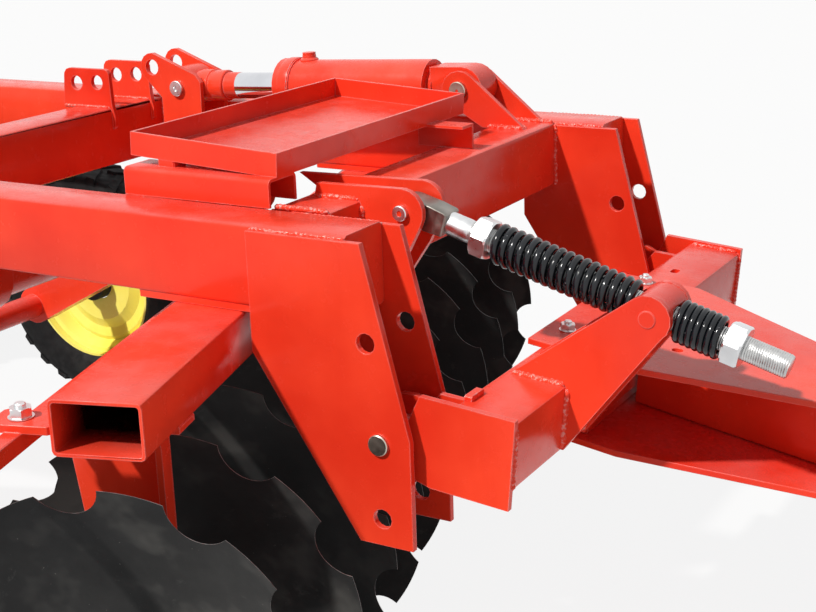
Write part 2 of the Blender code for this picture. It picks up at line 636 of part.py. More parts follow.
def cross_pin(x, y, z, radius, reach):
    """A pin along Y, reach long on each side of its middle."""
    return turned("pin", [(0, -reach), (radius, -reach), (radius, reach), (0, reach)],
                  axes(Vector((x, y, z)), Z, X, Y), ZINC, 16)


def paired_plates(name, outline, y, gap, thickness, holes=()):
    """Two upright plates in the side view, gap apart about y."""
    return [prism(name, outline, axes(Vector((0, y + low + thickness, 0)), X, Z, -Y), thickness, RED, holes)
            for low in (-gap / 2 - thickness, gap / 2)]


def base_ears():
    """Ears on the front crossbeam that hold the cylinder's base on a pin."""
    foot = FRAME_TOP - WELD
    outline = [(-0.139, foot), (-0.026, foot), *arc(BASE_PIN_X, BASE_PIN_Z, 0.046, 48, 215, 7)]
    pin = cross_pin(BASE_PIN_X, CYLINDER_Y, BASE_PIN_Z, BASE_PIN_R, CRANK_GAP / 2 + PLATE + 0.010)
    return [pin, *paired_plates("ear", outline, CYLINDER_Y, CRANK_GAP, PLATE)]


def rod_lugs():
    """Lugs on the front crossbeam that hold the levelling rod's eye on a pin; one has a tail."""
    foot = FRAME_TOP - WELD
    front = [(-WELD, foot), (-WELD, 0.870), (0.050, 0.845), (0.101, 0.920),
             *arc(ROD_PIN_X, ROD_PIN_Z, 0.046, -30, 85, 6)]
    short_tail = [(-0.098, FRAME_TOP + 0.027), (-0.105, foot)]
    long_tail = [(-0.192, FRAME_TOP + 0.024), (-0.150, foot)]
    pin = cross_pin(ROD_PIN_X, ROD_Y, ROD_PIN_Z, ROD_PIN_R, ROD_LUG_GAP / 2 + PLATE + 0.008)
    lugs = [prism("lug", front + tail, axes(Vector((0, ROD_Y + low + PLATE, 0)), X, Z, -Y), PLATE, RED)
            for low, tail in ((-ROD_LUG_GAP / 2 - PLATE, short_tail), (ROD_LUG_GAP / 2, long_tail))]
    return [pin, *lugs]


def stop_plates():
    """Two-hole plates on the middle crossbeam, with tails down its front face."""
    outline = [(-0.167, -WELD), (-0.158, 0.083), *arc(-0.137, 0.082, 0.021, 160, 90, 2),
               *arc(-0.016, 0.087, 0.016, 90, 20, 2), (0.002, 0.010), (0.010, -0.020), (0.008, -0.050),
               (-WELD, -0.058), (-WELD, -WELD)]
    holes = [circle(-0.115, 0.063, STOP_HOLE_R, 14), circle(-0.044, 0.067, STOP_HOLE_R, 14)]
    corner = Vector((MIDDLE_BEAM_X, 0, FRAME_TOP))
    return [prism("stop", outline, axes(corner + Y * (y + PLATE), X, Z, -Y), PLATE, RED, holes)
            for y in (CYLINDER_Y - 0.149, CYLINDER_Y + 0.011)]


# ---------------------------------------------------------------- tray
def support(x0, x1, y0, y1, height):
    """A sheet folded into an upside-down channel that stands on the frame."""
    t, width, r = SUPPORT_SHEET, y1 - y0, SUPPORT_BEND
    top = height - r
    inner = [*arc(r, top, r - t, 180, 90, 3), *arc(width - r, top, r - t, 90, 0, 3)]
    outer = [*arc(width - r, top, r, 0, 90, 3), *arc(r, top, r, 90, 180, 3)]
    outline = [(0, 0), (t, 0), *inner, (width - t, 0), (width, 0), *outer]
    return prism("support", outline, axes(Vector((x0, y0, FRAME_TOP + GAP)), Y, Z, X), x1 - x0, RED)


def angle_support(x0, x1, y0, y1, height):
    """An angle along X that stands on its web, with its flange under the tray."""
    t, width = SUPPORT_SHEET, y1 - y0
    outline = [(width - t, 0), (width, 0), (width, height), (0, height), (0, height - t),
               (width - t, height - t)]
    return prism("support", outline, axes(Vector((x0, y0, FRAME_TOP + GAP)), Y, Z, X), x1 - x0, RED)


def tray():
    """Shallow tray, pitched down to the front, on a folded channel, an angle and a packing block."""
    near = support(-0.468, TRAY_FRONT, -0.511, -0.420, TRAY_LOW + 0.0015)
    front = angle_support(-0.170, -0.034, 0.092, 0.142, TRAY_LOW + 0.0035)
    block = prism("block", rounded(0.040, 0.040, 0.003, 1, -0.385, -0.462),
                  axes(Z * (FRAME_TOP + TRAY_LOW - 0.001), X, Y, Z), 0.018, RED)
    corner = Vector((TRAY_FRONT, 0, FRAME_TOP + TRAY_LOW))
    back = Vector((-math.cos(TRAY_PITCH), 0, math.sin(TRAY_PITCH)))
    up = back.cross(Y) * -1
    length, width = (TRAY_FRONT - TRAY_REAR) / math.cos(TRAY_PITCH), TRAY_LEFT - TRAY_RIGHT
    place = axes(corner + Y * TRAY_RIGHT, back, Y, up if up.z > 0 else -up)
    pan = prism("pan", [(0, 0), (length, 0), (length, width), (0, width)], place, TRAY_SIDE, RED)
    t = TRAY_SHEET
    well = prism("well", [(t, t), (length - t, t), (length - t, width - t), (t, width - t)],
                 place @ Matrix.Translation((0, 0, t)), TRAY_SIDE, RED)
    pan = fused("pan", [pan], RED, False, [well])
    fused("tray", [pan, near, front, block], RED)


# ---------------------------------------------------------------- drawbar
def drawbar_axes():
    """The drawbar's own forward and upward directions; it points slightly down at rest."""
    c, s = math.cos(DRAWBAR_PITCH), math.sin(DRAWBAR_PITCH)
    return Vector((c, 0, -s)), Vector((s, 0, c))


def drawbar():
    """Cross tube on the hinge pins, with its levers, and the tongue."""
    pivot = Vector((PIVOT_X, 0, PIVOT_Z))
    fore, up = drawbar_axes()
    reach = HALF_FRAME - END_INSET - PLATE
    middle = CROSS_TUBE_X + CROSS_TUBE_W / 2
    section = rounded(CROSS_TUBE_W, CROSS_TUBE_H, TUBE_EDGE, 2, middle, CROSS_TUBE_Z - CROSS_TUBE_H / 2)
    tube = prism("tube", section, axes(pivot - Y * (reach + WELD), fore, up, Y), 2 * (reach + WELD), RED)
    packer_h, packer_reach = TONGUE_TUBE_H - CROSS_TUBE_H, 0.230
    packer = prism("packer", rounded(CROSS_TUBE_W - 0.030, packer_h + WELD, 0.002, 1, middle,
                                     CROSS_TUBE_Z - CROSS_TUBE_H - packer_h / 2 + WELD / 2),
                   axes(pivot - Y * packer_reach, fore, up, Y), 2 * packer_reach, RED)
    pieces = [tube, packer, *levers(pivot, fore, up), *drawbar_lugs(pivot, fore, up)]
    set_origin(fused("cross_tube", pieces, RED), pivot)
    tongue(pivot, fore, up)


def drawbar_lugs(pivot, fore, up):
    """End plates of the cross tube and a second lug inside each, all on the hinge pins."""
    heel, front, low, high = END_PLATE
    nose = arc(0, 0, LUG_NOSE_R, 50, 290, 8)
    plate = [(heel, low), (front, low), (front, high), (0.058, high), *nose]
    back, foot, top = CROSS_TUBE_X + WELD, CROSS_TUBE_Z - CROSS_TUBE_H + 0.012, CROSS_TUBE_Z - 0.012
    lug = [(back, foot), (back, top), (0.058, top), *nose]
    bore = circle(0, 0, bore_radius(PIVOT_R, PIVOT_PLAY, 16), 16, math.pi / 16)
    lugs = []
    for inset, outline in ((END_INSET, plate), (LUG_INSET, lug)):
        for side, word in SIDES:
            low_face = side * (HALF_FRAME - inset) - (PLATE if side == LEFT else 0)
            lugs.append(prism("lug", outline, axes(pivot + Y * low_face, fore, up, Y), PLATE, RED, [bore]))
    return lugs


def on_drawbar(pivot, fore, up, x, z):
    """A point of the machine's side view in the drawbar's own two directions."""
    d = Vector((x - pivot.x, 0, z - pivot.z))
    return d.dot(fore), d.dot(up)


def levers(pivot, fore, up):
    """Two plates on the cross tube that hold the trunnion of the levelling rod."""
    end = on_drawbar(pivot, fore, up, TRUNNION_X, TRUNNION_Z)
    top = CROSS_TUBE_Z - WELD
    front = CROSS_TUBE_X + CROSS_TUBE_W - WELD
    hook = CROSS_TUBE_Z - CROSS_TUBE_H + 0.004
    bore = circle(*end, bore_radius(STUB_PIN_R, GAP, 16), 16, math.pi / 16)
    outline = [(CROSS_TUBE_X + 0.010, top), (front, top), (front, hook), (front + 0.006, hook),
               *arc(*end, LEVER_NOSE_R, -50, 130, 8)]
    return [prism("lever", outline, axes(pivot + Y * (ROD_Y + offset + PLATE), fore, up, -Y), PLATE, RED,
                  [bore]) for offset in (-LEVER_GAP / 2 - PLATE, LEVER_GAP / 2)]


def tongue(pivot, fore, up):
    """Two tapered plates over and under the cross tube with the tongue's tube between them."""
    low = CROSS_TUBE_Z - TONGUE_TUBE_H
    for word, height in (("upper", CROSS_TUBE_Z + GAP), ("lower", low - GAP - PLATE)):
        plate = prism(f"tongue_{word}_plate", TONGUE_PLATE, axes(pivot + up * height, fore, Y, up),
                      PLATE, RED)
        set_origin(plate, pivot)
    turn = Matrix.Rotation(TONGUE_YAW, 3, up)
    along, across = turn @ fore, turn @ Y
    middle = pivot + up * (CROSS_TUBE_Z - TONGUE_TUBE_H / 2)
    heel = middle + fore * (CROSS_TUBE_X + CROSS_TUBE_W / 2) + Y * TONGUE_Y
    start = CROSS_TUBE_W / 2 / math.cos(TONGUE_YAW) + TONGUE_TUBE_W / 2 * math.tan(abs(TONGUE_YAW)) + 0.004
    section = rounded(TONGUE_TUBE_W, TONGUE_TUBE_H - 2 * GAP, TUBE_EDGE)
    tube = prism("tube", section, axes(heel + along * start, across, up, along), TONGUE_LENGTH - start, RED)
    nose = hitch(heel + along * (TONGUE_LENGTH - WELD), along, across, up)
    set_origin(fused("tongue_tube", [tube, *nose], RED), pivot)
    jack(heel + along * (TONGUE_LENGTH - JACK_BACK), along, across, up)


def hitch(end, along, across, up):
    """Clevis on the tongue's nose: a plate with two jaws, each with an upright pin hole."""
    side, root, reach = TONGUE_TUBE_W / 2 - 0.006, 0.010, HITCH_PIN_X - 0.030
    jaw = [(root, -side), (reach, -side), *arc(HITCH_PIN_X, 0, 0.050, -60, 60, 6), (reach, side), (root, side)]
    hole = circle(HITCH_PIN_X, 0, HITCH_PIN_R, 16)
    jaws = [prism("jaw", jaw, axes(end + up * height, along, across, up), HITCH_JAW_T, RED, [hole])
            for height in (-HITCH_GAP / 2 - HITCH_JAW_T, HITCH_GAP / 2)]
    back = prism("back", rounded(TONGUE_TUBE_W + 0.006, TONGUE_TUBE_H + 0.006, 0.004, 1),
                 axes(end, across, up, along), 0.020, RED)
    return [back, *jaws]


def jack(spot, along, across, up):
    """Parking jack on the tongue's left side: a sleeve on a side plate and a leg that slides in it."""
    side = spot + across * (TONGUE_TUBE_W / 2 + GAP)
    base = Vector((side.x, side.y, 0)) + Vector((across.x, across.y, 0)).normalized() * JACK_OUT
    bore = bore_radius(JACK_LEG_R, 0.0008, 16)
    cap, vent = 0.010, 0.012
    rings = [(bore, JACK_LOW), (bore + JACK_WALL, JACK_LOW), (bore + JACK_WALL, JACK_HIGH), (vent, JACK_HIGH),
             (vent, JACK_HIGH - cap), (bore, JACK_HIGH - cap), (bore, JACK_LOW)]
    sleeve = turned("sleeve", rings, axes(base, X, Y, Z), RED, 16)
    bracket = prism("bracket", rounded(0.120, 0.100, 0.004, 1), axes(side, along, up, across),
                    JACK_OUT - JACK_LEG_R - WELD, RED)
    fused("jack_sleeve", [sleeve, bracket], RED, True)
    foot_t = 0.010
    rings = [(0, 0), (JACK_FOOT_R, 0), (JACK_FOOT_R, foot_t), (JACK_LEG_R, foot_t + 0.004),
             (JACK_LEG_R, JACK_LEG_TOP), (0, JACK_LEG_TOP)]
    set_origin(turned("jack_leg", rings, axes(base, X, Y, Z), RED, 16, phase=0.5), base)


# ---------------------------------------------------------------- levelling rod
def levelling_rod():
    """Threaded rod from lugs on the front crossbeam through a trunnion between two springs."""
    pin = Vector((ROD_PIN_X, ROD_Y, ROD_PIN_Z))
    block = Vector((TRUNNION_X, ROD_Y, TRUNNION_Z))
    u = (block - pin).normalized()
    v = Y.cross(u)
    place = axes(pin, v, Y, u)
    reach = (block - pin).length
    shank_start, eye_w = 0.015, 0.054
    bar = turned("bar", [(0, shank_start), (ROD_SHANK_R, shank_start), (ROD_SHANK_R, SHANK_END),
                         (ROD_R, SHANK_END + 0.006), (ROD_R, ROD_LENGTH), (0, ROD_LENGTH)], place, ZINC, 16)
    eye = prism("eye", circle(0, 0, ROD_EYE_R, 20), axes(pin + Y * (eye_w / 2), X, Z, -Y), eye_w, ZINC)
    hole = prism("hole", circle(0, 0, bore_radius(ROD_PIN_R, 0.0008, 16), 16, math.pi / 16),
                 axes(pin + Y * eye_w, X, Z, -Y), 2 * eye_w, ZINC)
    corners = circle(0, 0, NUT_CORNER_R, 6, math.pi / 6)
    nuts = [prism("nut", corners, axes(pin + u * start, v, Y, u), NUT_T, ZINC)
            for start in (INNER_NUT, OUTER_NUT)]
    set_origin(fused("levelling_rod", [bar, eye, *nuts], ZINC, True, [hole]), pin)
    inside = ROD_R + SPRING_PLAY
    for word, a, b in (("long", INNER_NUT + NUT_T + GAP, reach - TRUNNION_R - GAP),
                       ("short", reach + TRUNNION_R + GAP, OUTER_NUT - GAP)):
        sleeve = [(inside, a), (SPRING_R, a), (SPRING_R, b), (inside, b), (inside, a)]
        set_origin(turned(f"{word}_spring", sleeve, place, BLACK, 16, phase=0.5), pin)
    half = LEVER_GAP / 2 - 0.001
    body = prism("body", circle(0, 0, TRUNNION_R, 20), axes(block + Y * half, X, Z, -Y), 2 * half, RED)
    stub = prism("stub", circle(0, 0, STUB_PIN_R, 16), axes(block + Y * (LEVER_GAP / 2 + PLATE), X, Z, -Y),
                 LEVER_GAP + 2 * PLATE, RED)
    clear = bore_radius(ROD_R, ROD_SLACK, 16)
    hole = turned("hole", [(0, reach - 0.1), (clear, reach - 0.1), (clear, reach + 0.1), (0, reach + 0.1)],
                  place, RED, 16, phase=0.5)
    set_origin(fused("rod_trunnion", [body, stub], RED, True, [hole]), block)


def centre_on_ground():
    """Move everything so that the origin is on the ground under the middle of the machine."""
    bpy.context.view_layer.update()
    corners = [o.matrix_world @ v.co for o in bpy.data.objects if o.type == "MESH" for v in o.data.vertices]
    middle = [(min(c[i] for c in corners) + max(c[i] for c in corners)) / 2 for i in (0, 1)]
    base = min(c.z for c in corners)
    shift = Vector((-middle[0], -middle[1], -base))
    for thing in bpy.data.objects:
        if thing.parent is None:
            thing.location += shift
    bpy.context.view_layer.update()


def main():
    clear_scene()
    frame()
    gang("front", GANG_ANGLE, FRONT_GANG_X, -1)
    gang("rear", -GANG_ANGLE, REAR_GANG_X, 1)
    lift()
    cylinder()
    tray()
    drawbar()
    levelling_rod()
    centre_on_ground()


main()
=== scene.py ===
"""Looks for the trailed offset disc harrow: paint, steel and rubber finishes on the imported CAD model,
and modelled discs, springs, threads, tyres, pins, nuts and weld beads.

Metres. The CAD frame is used as it is: X forward to the hitch, Y to the machine's left, Z up.
"""
import json
import math
import random

import bmesh
import bpy
import numpy as np
from mathutils import Matrix, Vector, noise

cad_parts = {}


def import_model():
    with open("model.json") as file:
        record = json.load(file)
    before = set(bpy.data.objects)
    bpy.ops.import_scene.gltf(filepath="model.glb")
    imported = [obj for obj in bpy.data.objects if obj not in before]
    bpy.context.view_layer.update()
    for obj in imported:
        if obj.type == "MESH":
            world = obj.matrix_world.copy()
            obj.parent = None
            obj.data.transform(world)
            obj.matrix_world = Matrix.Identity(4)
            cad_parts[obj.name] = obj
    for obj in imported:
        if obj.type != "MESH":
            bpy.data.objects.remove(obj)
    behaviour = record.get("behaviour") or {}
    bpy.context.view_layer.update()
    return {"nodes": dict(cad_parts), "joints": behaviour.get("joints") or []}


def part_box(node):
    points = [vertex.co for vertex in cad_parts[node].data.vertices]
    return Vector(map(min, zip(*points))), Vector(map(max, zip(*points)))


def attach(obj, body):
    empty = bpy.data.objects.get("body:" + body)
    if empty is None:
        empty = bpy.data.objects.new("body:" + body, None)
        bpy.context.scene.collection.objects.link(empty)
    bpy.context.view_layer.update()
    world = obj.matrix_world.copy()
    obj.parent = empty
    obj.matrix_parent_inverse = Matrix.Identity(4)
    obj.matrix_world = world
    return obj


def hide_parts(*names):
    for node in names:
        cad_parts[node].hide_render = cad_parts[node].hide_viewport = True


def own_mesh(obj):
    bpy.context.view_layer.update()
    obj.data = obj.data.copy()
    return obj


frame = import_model()
NODES = frame["nodes"]
JOINTS = {j["name"]: j for j in frame["joints"]}
X, Y, Z = Vector((1, 0, 0)), Vector((0, 1, 0)), Vector((0, 0, 1))


# ---------------- places, from the frame
def joint_pos(name):
    return Vector(JOINTS[name]["pos_m"])


def middle_y(*nodes):
    return sum(c.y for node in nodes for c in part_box(node)) / (2 * len(nodes))


PIVOT = joint_pos("drawbar_pitch")
ROD_PIN = joint_pos("levelling_rod_swing")
TRUNNION = joint_pos("trunnion_turn")
SHAFT = joint_pos("wheel_lift")
BASE_PIN = joint_pos("cylinder_swing")
MIDDLE_Y = middle_y("right_beam", "left_beam")
FRAME_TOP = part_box("right_beam")[1].z
HALF_FRAME = (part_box("left_beam")[1].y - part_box("right_beam")[0].y) / 2
BEAM_H = 0.152
BEAM_W = 0.126
PLATE = 0.0127
CRANK_T = 0.014
EAR_GAP = 0.044         # from the cylinder's middle plane to each ear or crank
LUG_GAP = 0.034         # from the levelling rod's middle plane to each lug
LEVER_GAP = 0.042       # from the levelling rod's middle plane to each lever
MIDDLE_BAR, REAR_BAR = -1.200, -3.010   # front faces of the two rear crossbeams, from FRONT_X
FRONT_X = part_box("rear_crossbeam")[1].x - REAR_BAR   # front face of the front crossbeam
CYLINDER_Y = BASE_PIN.y
ROD_Y = ROD_PIN.y - MIDDLE_Y
CRANK_PIN = Vector((FRONT_X - 1.045, CYLINDER_Y, 1.057))
DRAWBAR_PITCH = math.radians(5.2)
FORE = Vector((math.cos(DRAWBAR_PITCH), 0, -math.sin(DRAWBAR_PITCH)))
UP = Vector((math.sin(DRAWBAR_PITCH), 0, math.cos(DRAWBAR_PITCH)))


def at(x, y, z):
    """A point from the front crossbeam's face, the machine's middle line and the ground."""
    return Vector((FRONT_X + x, MIDDLE_Y + y, z))


def on_drawbar(fore, y, up):
    """A point ahead of the hinge pin along the drawbar, from the middle line, and above the pin."""
    return Vector((PIVOT.x, MIDDLE_Y + y, PIVOT.z)) + FORE * fore + UP * up


def axes(origin, u, v, w):
    """The matrix that takes a drawing's (u, v, w) into the machine's space."""
    m = Matrix((u, v, w)).transposed().to_4x4()
    m.translation = origin
    return m


# ---------------- materials
class Shader:
    """A Principled material whose inputs are fed by noises in the object's own space."""

    def __init__(self, name, specular, metallic=0.0):
        self.mat = bpy.data.materials.new(name)
        self.mat.use_nodes = True
        self.tree = self.mat.node_tree
        self.link = self.tree.links.new
        self.bsdf = self.tree.nodes["Principled BSDF"]
        self.bsdf.inputs["Metallic"].default_value = metallic
        self.bsdf.inputs["Specular IOR Level"].default_value = specular
        self.place = self.node("ShaderNodeTexCoord").outputs["Object"]

    def node(self, kind, **settings):
        made = self.tree.nodes.new(kind)
        for key, value in settings.items():
            setattr(made, key, value)
        return made

    def stretched(self, scale):
        made = self.node("ShaderNodeMapping")
        made.inputs["Scale"].default_value = scale
        self.link(self.place, made.inputs["Vector"])
        return made.outputs["Vector"]

    def noise(self, scale, detail=4.0, rough=0.55, vector=None):
        made = self.node("ShaderNodeTexNoise")
        made.inputs["Scale"].default_value = scale
        made.inputs["Detail"].default_value = detail
        made.inputs["Roughness"].default_value = rough
        self.link(vector or self.place, made.inputs["Vector"])
        return made.outputs["Fac"]

    def spread(self, value, low, high, out_low=0.0, out_high=1.0):
        """Map a range of a value onto another, clamped."""
        made = self.node("ShaderNodeMapRange")
        for key, number in (("From Min", low), ("From Max", high), ("To Min", out_low), ("To Max", out_high)):
            made.inputs[key].default_value = number
        self.link(value, made.inputs["Value"])
        return made.outputs["Result"]

    def math(self, operation, a, b):
        made = self.node("ShaderNodeMath", operation=operation)
        for socket, value in zip(made.inputs, (a, b)):
            if isinstance(value, (int, float)):
                socket.default_value = value
            else:
                self.link(value, socket)
        return made.outputs[0]

    def mix(self, factor, a, b):
        """Blend two colours; each is a tuple or a socket."""
        made = self.node("ShaderNodeMix", data_type="RGBA")
        self.link(factor, made.inputs["Factor"])
        for key, value in (("A", a), ("B", b)):
            socket = [s for s in made.inputs if s.name == key and s.type == "RGBA"][0]
            if isinstance(value, tuple):
                socket.default_value = (*value, 1.0)
            else:
                self.link(value, socket)
        return [s for s in made.outputs if s.type == "RGBA"][0]

    def facing_up(self):
        """The surface normal's Z: 1 on top faces, 0 on walls."""
        made = self.node("ShaderNodeNewGeometry")
        split = self.node("ShaderNodeSeparateXYZ")
        self.link(made.outputs["Normal"], split.inputs[0])
        return split.outputs[2]

    def edges(self, radius):
        """1 on sharp edges and 0 on flats."""
        soft = self.node("ShaderNodeBevel", samples=4)
        soft.inputs["Radius"].default_value = radius
        plain = self.node("ShaderNodeNewGeometry")
        dot = self.node("ShaderNodeVectorMath", operation="DOT_PRODUCT")
        self.link(soft.outputs["Normal"], dot.inputs[0])
        self.link(plain.outputs["Normal"], dot.inputs[1])
        return self.spread(dot.outputs["Value"], 0.97, 0.86)

    def colour(self, socket):
        self.link(socket, self.bsdf.inputs["Base Color"])

    def roughness(self, socket):
        self.link(socket, self.bsdf.inputs["Roughness"])

    def bump(self, height, strength, distance):
        made = self.node("ShaderNodeBump")
        made.inputs["Strength"].default_value = strength
        made.inputs["Distance"].default_value = distance
        self.link(height, made.inputs["Height"])
        self.link(made.outputs["Normal"], self.bsdf.inputs["Normal"])


# pale pink for upward faces: dust, and a painted sheen of the sky
DUST_AND_SKY_SHEEN = (0.62, 0.44, 0.44)
# pale specks for weld beads: chips, and painted sun glints
FLECK_AND_GLINT = (0.93, 0.55, 0.50)
# colour of the painted shade deep inside the gang beams
PAINTED_INNER_SHADE = (0.020, 0.0015, 0.001)


def paint(name, deep, bright, chip, gloss=(0.15, 0.30), chips=0.62, inner_shade=None, flecks_and_glints=0.0):
    """Sprayed gloss enamel: cloudy tone, orange peel, a film of dust and a painted pale sky sheen on top
    faces, worn edges with a painted pale highlight along them.
    """
    s = Shader(name, specular=0.24)
    tone = s.mix(s.spread(s.noise(2.6), 0.35, 0.65), deep, bright)
    streak = s.noise(3.0, 3.0, 0.6, s.stretched((6.0, 6.0, 0.7)))
    tone = s.mix(s.spread(streak, 0.5, 0.8, 0.0, 0.35), tone, deep)
    # dust and a painted pale sky sheen on faces that look up
    on_top = s.spread(s.facing_up(), 0.3, 0.95)
    dust_and_sheen = s.math("MULTIPLY", on_top, s.spread(s.noise(7.0, 6.0), 0.40, 0.75, 0.02, 0.17))
    tone = s.mix(dust_and_sheen, tone, DUST_AND_SKY_SHEEN)
    edge = s.edges(0.0035)
    # edges paled toward white: thinner paint there, and a painted highlight along them
    thin_paint_and_highlight = s.math("MULTIPLY", edge, s.spread(s.noise(24.0, 4.0), 0.35, 0.7, 0.22, 0.80))
    tone = s.mix(thin_paint_and_highlight, tone, tuple(min(1.0, 0.55 * c + 0.32) for c in bright))
    worn = s.math("MULTIPLY", edge, s.spread(s.noise(95.0, 5.0, 0.7), chips, chips + 0.05))
    tone = s.mix(worn, tone, chip)
    # pale specks: chips, and painted sun glints on the beads
    if flecks_and_glints:
        tone = s.mix(s.spread(s.noise(150.0, 4.0, 0.6), 0.52, 0.60, 0.0, flecks_and_glints), tone, FLECK_AND_GLINT)
    # painted shade: the gang beams' inner walls darkened away from their mouths
    if inner_shade:
        tone = s.mix(inner_shade(s), tone, PAINTED_INNER_SHADE)
    s.colour(tone)
    s.roughness(s.math("ADD", s.spread(s.noise(34.0, 5.0), 0.3, 0.7, *gloss), s.math("MULTIPLY", dust_and_sheen, 0.5)))
    grain = s.math("ADD", s.noise(420.0, 2.0), s.math("MULTIPLY", s.noise(38.0, 2.0), 1.5))
    s.bump(s.math("SUBTRACT", grain, s.math("MULTIPLY", worn, 2.0)), 0.10, 0.0012)
    return s.mat


def disc_steel():
    """Rolled disc steel in thin black paint, with rubbed patches, fine scuffs and a dusty bloom."""
    s = Shader("disc_black", specular=0.10)
    cloud = s.spread(s.noise(4.0, 6.0, 0.6), 0.35, 0.68)
    base = s.mix(cloud, (0.021, 0.021, 0.0212), (0.046, 0.0455, 0.0445))
    base = s.mix(s.spread(s.noise(8.0, 3.0), 0.50, 0.66, 0.0, 0.70), base, (0.082, 0.080, 0.075))
    base = s.mix(s.spread(s.noise(2.3, 2.0), 0.52, 0.66, 0.0, 0.45), base, (0.014, 0.014, 0.015))
    scuff = s.spread(s.noise(9.0, 9.0, 0.75, s.stretched((1.0, 5.0, 1.6))), 0.60, 0.74, 0.0, 0.55)
    base = s.mix(scuff, base, (0.095, 0.093, 0.089))
    speck = s.spread(s.noise(190.0, 2.0, 0.4), 0.76, 0.79, 0.0, 0.6)
    s.colour(s.mix(speck, base, (0.16, 0.15, 0.14)))
    s.roughness(s.spread(s.noise(11.0, 6.0), 0.3, 0.7, 0.40, 0.62))
    s.bump(s.noise(150.0, 5.0), 0.18, 0.0006)
    return s.mat


def metal(name, dark, light, rough, scale, metallic=1.0, grain=0.10, specular=0.5):
    """Bare or plated metal with a mottled tone and fine grain; scale is that of its mottling."""
    s = Shader(name, specular, metallic)
    s.colour(s.mix(s.spread(s.noise(scale, 5.0), 0.3, 0.7), dark, light))
    s.roughness(s.spread(s.noise(scale * 2.0, 6.0, 0.6), 0.3, 0.7, *rough))
    s.bump(s.noise(scale * 9.0, 3.0, 0.5), grain, 0.0005)
    return s.mat


def spring_paint():
    """Glossy black dip paint with a few pale specks, its black tinted blue as a painted sky reflection."""
    s = Shader("spring_black", specular=0.46)
    # the blue in the black is a painted reflection of the sky
    base = s.mix(s.spread(s.noise(30.0, 5.0), 0.35, 0.7), (0.002, 0.003, 0.005), (0.008, 0.010, 0.014))
    s.colour(s.mix(s.spread(s.noise(240.0, 2.0, 0.4), 0.74, 0.76), base, (0.20, 0.20, 0.21)))
    s.roughness(s.spread(s.noise(60.0, 5.0), 0.3, 0.7, 0.11, 0.22))
    s.bump(s.noise(130.0, 3.0), 0.12, 0.0008)
    return s.mat


def rubber():
    """Tyre rubber with road dust in its hollows and on its lugs."""
    s = Shader("tyre_black", specular=0.12)
    base = s.mix(s.spread(s.noise(22.0, 6.0), 0.3, 0.7), (0.007, 0.007, 0.0075), (0.016, 0.016, 0.0165))
    s.colour(s.mix(s.spread(s.noise(6.0, 8.0, 0.65), 0.52, 0.78, 0.0, 0.38), base, (0.090, 0.088, 0.082)))
    s.roughness(s.spread(s.noise(50.0, 5.0), 0.3, 0.7, 0.62, 0.88))
    s.bump(s.noise(260.0, 4.0), 0.25, 0.0010)
    return s.mat


BEAM_INSIDE = 0.0715     # half of a gang beam's inner width
BEAM_REACH = 1.155       # half of a gang beam's length
MOUTH = 0.11             # how far daylight reaches into its mouths


def tube_shade_mask(word):
    """1 on the inner walls of a gang beam, away from its mouths: where the red is darkened as painted shade.
    """
    along = Vector(JOINTS[f"{word}_gang_spin"]["axis"])
    across = Vector((along.y, -along.x, 0))
    low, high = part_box(f"{word}_gang_beam")
    middle = (low + high) / 2

    def mask(s):
        def distance(axis):
            made = s.node("ShaderNodeVectorMath", operation="DOT_PRODUCT")
            s.link(s.place, made.inputs[0])
            made.inputs[1].default_value = axis
            return s.math("ABSOLUTE", s.math("SUBTRACT", made.outputs["Value"], middle.dot(axis)), 0.0)

        between_walls = s.math("LESS_THAN", distance(across), BEAM_INSIDE + 0.002)
        between_lids = s.math("LESS_THAN", distance(Z), (high.z - low.z) / 2 - 0.004)
        inside = s.math("MULTIPLY", between_walls, between_lids)
        return s.math("MULTIPLY", inside, s.spread(distance(along), BEAM_REACH - 0.005, BEAM_REACH - MOUTH))
    return mask


RED_TONES = ((0.74, 0.032, 0.012), (0.92, 0.062, 0.024))
PINK_CHIP, GREY_CHIP, PALE_CHIP = (0.80, 0.50, 0.46), (0.62, 0.60, 0.62), (0.90, 0.72, 0.70)
YELLOW_TONES = ((0.84, 0.72, 0.060), (0.94, 0.88, 0.190), (0.35, 0.30, 0.12))
RED = paint("enamel_red", *RED_TONES, PINK_CHIP)
# red with painted shade inside each gang beam
TUBE_RED = {word: paint(f"enamel_red_{word}_tube", *RED_TONES, PINK_CHIP, inner_shade=tube_shade_mask(word))
            for word in ("front", "rear")}
WORN_RED = paint("enamel_red_worn", *RED_TONES, GREY_CHIP, chips=0.50)
WELD_RED = paint("enamel_red_weld", *RED_TONES, PALE_CHIP, gloss=(0.12, 0.24), chips=0.45, flecks_and_glints=0.48)
YELLOW = paint("enamel_yellow", *YELLOW_TONES, chips=0.66)
DISC = disc_steel()
EDGE = metal("disc_edge", (0.045, 0.045, 0.045), (0.23, 0.23, 0.225), (0.38, 0.55), 70.0,
             metallic=0.0, grain=0.25, specular=0.3)
SPRING = spring_paint()
ZINC = metal("zinc_plate", (0.66, 0.67, 0.68), (0.78, 0.79, 0.80), (0.26, 0.40), 30.0)
THREAD = metal("threaded_steel", (0.46, 0.46, 0.46), (0.66, 0.66, 0.65), (0.28, 0.42), 60.0)
FORGED = metal("forged_steel", (0.20, 0.185, 0.165), (0.36, 0.335, 0.305), (0.34, 0.52), 30.0, grain=0.25)
PIN = metal("turned_pin", (0.42, 0.38, 0.31), (0.62, 0.58, 0.50), (0.28, 0.46), 25.0)
CHROME = metal("hard_chrome", (0.66, 0.67, 0.70), (0.80, 0.81, 0.84), (0.05, 0.12), 9.0, grain=0.02)
